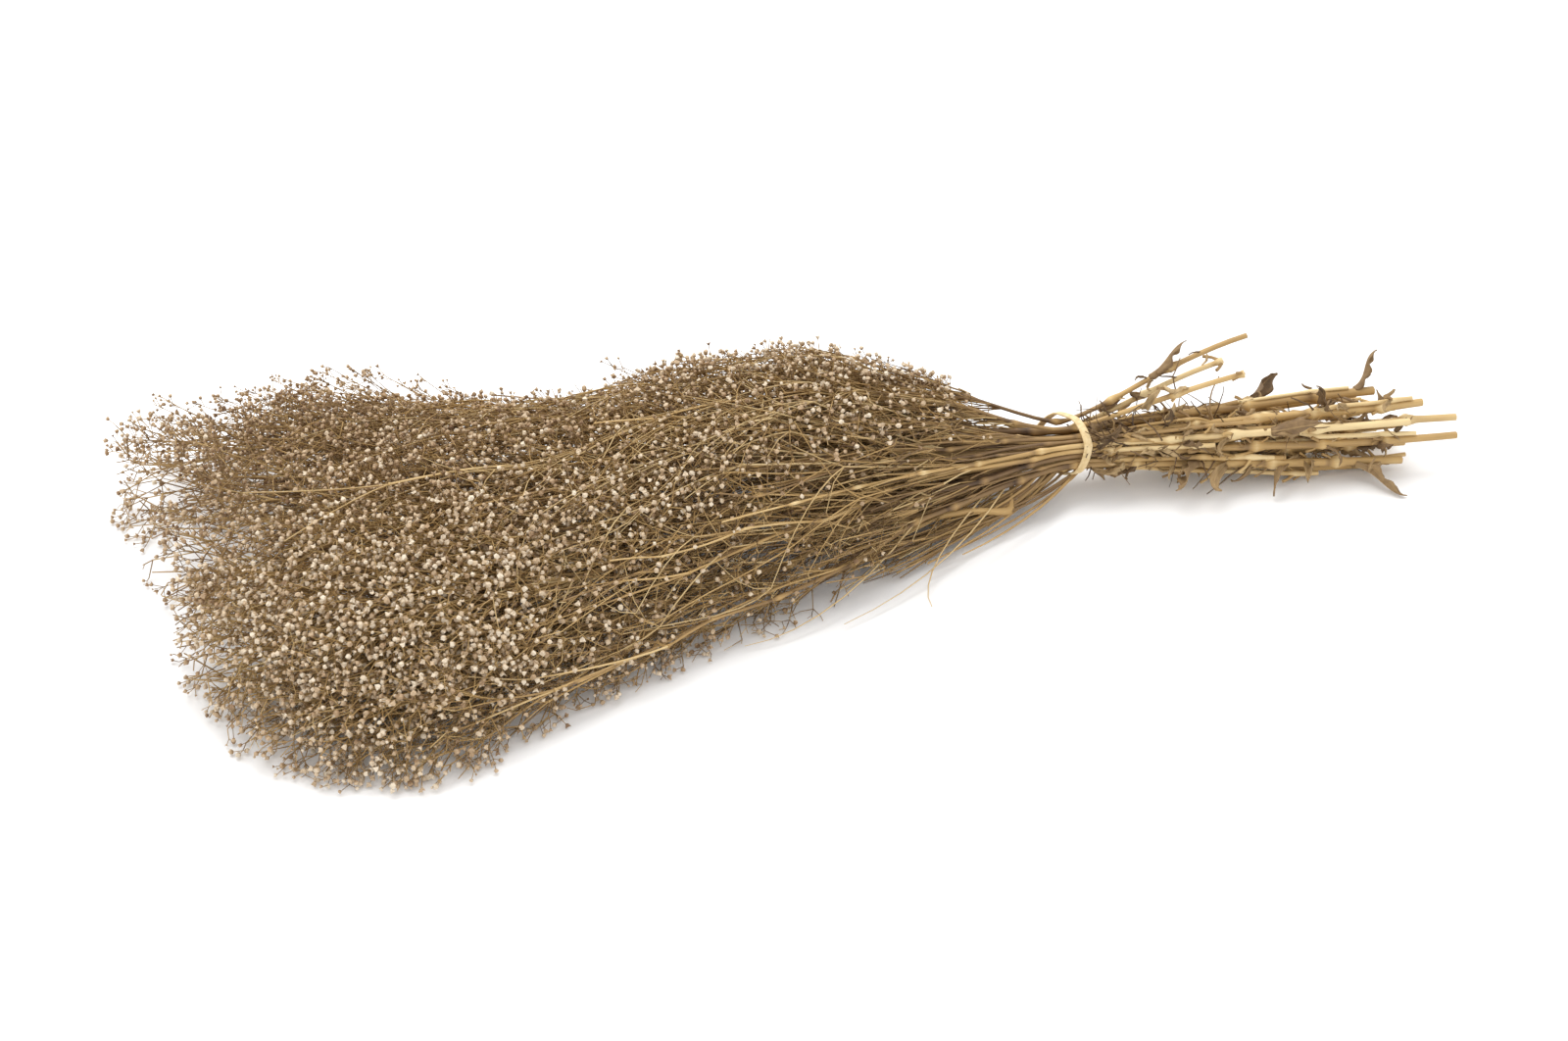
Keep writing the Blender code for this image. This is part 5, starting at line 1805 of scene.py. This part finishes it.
# %% [markdown]
# Twelve withered leaves are still on the bare part, each where its solid is: at a place along the
# bunch and an angle round it, on the stem that reaches furthest out there. A leaf rises from its
# stem and curls over, and twists as it goes. Cloth simulation would curl it too, but not to the pose
# of the solid that it replaces, so the curl is a formula over the leaf's length.

# %% The withered leaves in place of their solids
LEAVES = (
    (0.205, -62, 0.034, 0.0075, -1, 1.15), (0.223, -35, 0.020, 0.0055, 1, 1.30),
    (0.262, -60, 0.030, 0.0070, 1, 0.80), (0.243, -88, 0.026, 0.0060, 1, 0.70),
    (0.287, -45, 0.032, 0.0085, 1, 0.60), (0.292, 62, 0.024, 0.0055, 1, 1.25),
    (0.272, 100, 0.022, 0.0050, -1, 1.30), (0.180, 82, 0.026, 0.0060, 1, 0.80),
    (0.236, 140, 0.028, 0.0060, 1, 0.90), (0.200, 176, 0.030, 0.0065, -1, 1.00),
    (0.284, 205, 0.030, 0.0065, 1, 0.90), (0.236, 12, 0.034, 0.0080, 1, 0.50),
)
LEAF_ROWS = 18
LOWEST_LEAF = 0.0012
LEAF_SEAT = 0.00315
LEAF_RISE = math.radians(24)
LEAF_TWIST = 0.9
LEAF_CUP = 0.85
LEAF_THICKNESS = 0.00028


def outermost_stem(x, angle):
    """Where, at x, the stem lies that reaches furthest out at an angle round the bunch."""
    out = np.array([math.cos(angle), math.sin(angle)])
    places = []
    for line in SMOOTH_STEMS:
        if line[:, 0].max() > x + 0.004:
            places.append(line[int(np.argmin(np.abs(line[:, 0] - x)))])
    return Vector(max(places, key=lambda place: (place[1:] - np.array([NECK.y, NECK.z])) @ out))


def leaf_half_width(part, width):
    """Half the leaf's width at a share of its length: widest behind the middle, pointed at the tip."""
    swell = math.sin(math.pi * min(1.0, 0.12 + part * 0.8)) ** 0.8
    return max(width / 2 * (0.32 + 0.9 * swell) * (1 - part ** 5), 0.0004)


def leaf_mesh(number, spec):
    """One leaf from its place, angle, length, width, the way it points and its curl."""
    x, degrees, length, width, way, curl = spec
    chance = random.Random(SEED * 60 + number)
    angle = math.radians(degrees)
    out = Vector((0.0, math.cos(angle), math.sin(angle)))
    along = Vector((way, 0.0, 0.0))
    across = out.cross(along)
    place = outermost_stem(x, angle) + out * LEAF_SEAT
    twist = LEAF_TWIST if number % 2 else -LEAF_TWIST
    places, halves, lifts = [place - out * LEAF_SEAT * 0.8], [across * 0.0006], [out * 0.0002]
    for step in range(LEAF_ROWS + 1):
        part = step / LEAF_ROWS
        rise = LEAF_RISE + curl * (0.9 * math.sin(part * 2.6) - 0.8 * part * part)
        heading = along * math.cos(rise) + out * math.sin(rise)
        half = leaf_half_width(part, width)
        turn = Matrix.Rotation(twist * part, 3, heading)
        places.append(Vector(place))
        halves.append(turn @ across * half)
        lifts.append(turn @ across.cross(heading).normalized() * half * LEAF_CUP)
        place = place + heading * (length / LEAF_ROWS)
    for place in places:
        place.z = max(place.z, LOWEST_LEAF)
    tone = chance.uniform(0.25, 0.6)
    name = f"leaf_{number:02d}_blade"
    mesh = blade_mesh(name, places, halves, lifts, LEAF_COLUMNS, LEAF_THICKNESS, chance)
    set_attribute(mesh, "tone", "FLOAT", [tone] * len(mesh.vertices))
    return mesh


for number, spec in enumerate(LEAVES, 1):
    mesh = leaf_mesh(number, spec)
    mesh.materials.append(LEAF_SKIN)
    mesh.transform(Matrix.Translation(SHIFT))
    add_piece(mesh.name, mesh, f"leaf_{number:02d}")
print("leaves:", len(LEAVES), "faces each:", len(mesh.polygons))

# %% [markdown]
# Between the stems lie scraps: broken leaves, sheaths and tips from 4 to 20 mm long. They repeat, so
# six shapes of unit length are enough, each with a width, a curl and a cup of its own.

# %% The shapes of the scraps
SCRAP_ROWS = 7
SCRAP_TWIST = 1.4
SCRAP_THICKNESS = 0.035
SCRAP_SPECS = (
    (0.085, 1.3, 1.0), (0.060, 2.3, 0.7), (0.115, 0.8, 1.5), (0.075, -1.8, 1.1), (0.050, 2.9, 0.8),
    (0.070, -2.5, 1.4),
)


def scrap_shape(index, home):
    """A curled strip of unit length that stands on the origin."""
    chance = random.Random(SEED * 61 + index)
    width, curl, cup = SCRAP_SPECS[index]
    places, halves, lifts = [], [], []
    place = Vector((0.0, 0.0, -0.04))
    for step in range(SCRAP_ROWS + 1):
        part = step / SCRAP_ROWS
        angle = curl * part * part
        heading = Vector((math.sin(angle), 0.25 * math.sin(3 * part), math.cos(angle))).normalized()
        swell = 0.35 + math.sin(math.pi * min(1.0, part * 0.85 + 0.1)) ** 0.7
        half = width * swell * (1 - part ** 4) + 0.01
        turn = Matrix.Rotation(SCRAP_TWIST * part * (1 if index % 2 else -1), 3, heading)
        places.append(Vector(place))
        halves.append(turn @ Vector((0.0, half, 0.0)))
        lifts.append(turn @ Vector((-half * cup, 0.0, 0.0)))
        place = place + heading * (1.0 / SCRAP_ROWS)
    name = f"scrap_shape_{index}"
    mesh = blade_mesh(name, places, halves, lifts, SCRAP_COLUMNS, SCRAP_THICKNESS, chance)
    home.objects.link(bpy.data.objects.new(mesh.name, mesh))


SCRAP_SHAPES = bpy.data.collections.new("scrap_shapes")
for index in range(len(SCRAP_SPECS)):
    scrap_shape(index, SCRAP_SHAPES)

# %% [markdown]
# The scraps are put on points with the same node group as the buds. Most are strewn over all thick
# and thin stems of the bare part and point away from them, never through the ground or the band. Ten
# larger ones are placed one by one, low at the far side and near the cut ends.

# %% Scraps between the stems
SCRAP_COUNT = 440
SCRAP_LENGTHS = (0.004, 0.020, 0.008)
SCRAP_X = (0.142, 0.318)
SCRAP_SEAT = 0.0016
LOWEST_SCRAP = 0.0030
LARGE_SCRAPS = (
    (0.196, -170, 0.020), (0.212, 195, 0.026), (0.228, -150, 0.018), (0.246, 185, 0.022),
    (0.262, -165, 0.016), (0.296, -175, 0.022), (0.252, 150, 0.018), (0.280, 110, 0.016),
    (0.300, 70, 0.014), (0.170, 120, 0.015),
)


def scrap_points():
    """Points for the scraps, with which way each faces, its length and its tone."""
    chance = random.Random(SEED * 62)
    places, facing, girth, tone = [], [], [], []
    while len(places) < SCRAP_COUNT:
        host = chance.choice(HOSTS)
        x = chance.uniform(*SCRAP_X)
        if host.line[0][0] < x + 0.008:
            continue
        along = float(np.interp(-x, -host.line[:, 0], host.along))
        place, onward, side, up = frame_at(host, along)
        turn = chance.uniform(0, 2 * math.pi)
        out = side * math.cos(turn) + up * math.sin(turn)
        length = chance.triangular(*SCRAP_LENGTHS)
        aim = onward * chance.choice((-1, 1, 1)) * chance.uniform(0.8, 3.0) + out
        spot = place + out * SCRAP_SEAT
        if spot.z + aim.normalized().z * length < 0.002:
            aim.z = 0.1
        if spot.x + aim.normalized().x * length < BARE_FROM_X:
            aim.x = abs(aim.x)
        spot.z = max(spot.z, LOWEST_SCRAP)
        places.append(tuple(spot))
        facing.append(tuple(aim.normalized()))
        girth.append(length)
        tone.append(chance.uniform(0.15, 0.95))
    for x, degrees, length in LARGE_SCRAPS:
        angle = math.radians(degrees)
        out = Vector((0.0, math.cos(angle), math.sin(angle)))
        spot = outermost_stem(x, angle) + out * SCRAP_SEAT
        places.append(tuple(spot))
        facing.append(tuple((out + Vector((chance.choice((-1.2, 1.2)), 0.0, 0.0))).normalized()))
        girth.append(length)
        tone.append(chance.uniform(0.35, 0.80))
    mesh = bpy.data.meshes.new("points")
    mesh.from_pydata(places, [], [])
    set_attribute(mesh, "facing", "FLOAT_VECTOR", facing)
    set_attribute(mesh, "girth", "FLOAT", girth)
    set_attribute(mesh, "tone", "FLOAT", tone)
    return mesh


scraps = grown_mesh("scraps", scrap_points(), BUD_TREE, {
    "Shapes": SCRAP_SHAPES, "Shape count": len(SCRAP_SPECS), "Seed": SEED, "Smooth": True,
    "Finish": LEAF_SKIN})
add_piece("scraps", scraps, None)
print("scraps:", SCRAP_COUNT + len(LARGE_SCRAPS), "faces:", len(scraps.polygons))

# %% [markdown]
# The band is a strip of moulded rubber, pale and matt, 4.3 mm wide. Rubber is rougher and a little
# less reflective than plastic, with a grain of 2 mm and more where it has aged. Its edges are a
# little round. The solid already follows the stems, so its own mesh is bevelled and smoothed rather
# than made anew. A copy is welded first, because the solid's triangles are loose.

# %% The rubber band
RUBBER_GRAIN_MM = 2.381
WELD_DISTANCE = 0.00001
BAND_EDGE_RADIUS = 0.00034
BAND_EDGE_ANGLE = math.radians(50)


def pale_rubber():
    made, tree, shader = new_material("pale_rubber")
    grain = add_node(tree, "ShaderNodeTexNoise", {
        "Vector": add_node(tree, "ShaderNodeTexCoord").outputs["Object"],
        "Scale": repeats(RUBBER_GRAIN_MM), "Detail": 3.0})
    colour = colour_ramp(tree, grain.outputs["Fac"], ((0.30, "#CDB07C"), (0.70, "#E6CFA2")))
    tree.links.new(colour, shader.inputs["Base Color"])
    bump = add_node(tree, "ShaderNodeBump", {
        "Height": grain.outputs["Fac"], "Strength": 0.2, "Distance": 0.0002})
    tree.links.new(bump.outputs["Normal"], shader.inputs["Normal"])
    shader.inputs["Roughness"].default_value = 0.6
    return made


def band_mesh():
    """The band's solid with round edges and a smooth surface."""
    holder = bpy.data.objects.new("band_shape", frame["nodes"]["band"].data.copy())
    bpy.context.scene.collection.objects.link(holder)
    weld = holder.modifiers.new("weld", "WELD")
    weld.merge_threshold = WELD_DISTANCE
    bevel = holder.modifiers.new("bevel", "BEVEL")
    bevel.width = BAND_EDGE_RADIUS
    bevel.segments = 2
    bevel.limit_method = "ANGLE"
    bevel.angle_limit = BAND_EDGE_ANGLE
    smooth = holder.modifiers.new("smooth", "SUBSURF")
    smooth.levels = 1
    graph = bpy.context.evaluated_depsgraph_get()
    mesh = bpy.data.meshes.new_from_object(holder.evaluated_get(graph))
    bpy.data.objects.remove(holder, do_unlink=True)
    mesh.materials.clear()
    mesh.materials.append(pale_rubber())
    mesh.shade_smooth()
    return mesh


band = band_mesh()
add_piece("band_rubber", band, "band")
print("band faces:", len(band.polygons))

# %% [markdown]
# The bunch was photographed on white paper that the light has burnt out, with only a soft, faint
# shadow. So the world gives even white light from all sides, and one large softbox above and behind
# the bunch gives the shadow its direction. A small lamp would give hard shadows among the twigs.

# %% The paper floor
FLOOR_SIZE = 8.0
FLOOR_DROP = 0.0002


def make_floor():
    """A plain sheet of matt white paper just below the lowest twig."""
    bpy.ops.mesh.primitive_plane_add(size=FLOOR_SIZE, location=(0.0, 0.0, -FLOOR_DROP))
    floor = bpy.context.object
    floor.name = "floor"
    made, _, shader = new_material("white_paper")
    shader.inputs["Base Color"].default_value = linear("#F4F4F4")
    shader.inputs["Roughness"].default_value = 0.9
    floor.data.materials.append(made)


make_floor()
print("floor:", FLOOR_SIZE, "m wide")

# %% [markdown]
# The softbox is aimed at the flower mass, which is where its light has to fall. The plain Standard
# view is used, because it shows the materials' colours as they were chosen and lets white burn out.

# %% The light
WORLD_STRENGTH = 1.12
SOFTBOX_SIZE = (1.4, 1.0)
SOFTBOX_WATTS = 19.0
SOFTBOX_PLACE = Vector((-0.25, 0.55, 1.5))
SOFTBOX_TARGET = Vector((-0.1, 0.0, 0.0))


def make_light():
    """Even white light from all sides, and one large softbox."""
    world = bpy.data.worlds.new("studio")
    world.use_nodes = True
    world.node_tree.nodes["Background"].inputs["Color"].default_value = (1.0, 1.0, 1.0, 1.0)
    world.node_tree.nodes["Background"].inputs["Strength"].default_value = WORLD_STRENGTH
    bpy.context.scene.world = world
    lamp = bpy.data.lights.new("softbox", "AREA")
    lamp.shape = "RECTANGLE"
    lamp.size, lamp.size_y = SOFTBOX_SIZE
    lamp.energy = SOFTBOX_WATTS
    softbox = bpy.data.objects.new("softbox", lamp)
    softbox.location = SOFTBOX_PLACE
    aim = SOFTBOX_PLACE - SOFTBOX_TARGET
    softbox.rotation_euler = aim.to_track_quat("Z", "Y").to_euler()
    bpy.context.scene.collection.objects.link(softbox)
    bpy.context.scene.view_settings.view_transform = "Standard"


make_light()
print("softbox:", SOFTBOX_WATTS, "W, world strength:", WORLD_STRENGTH)
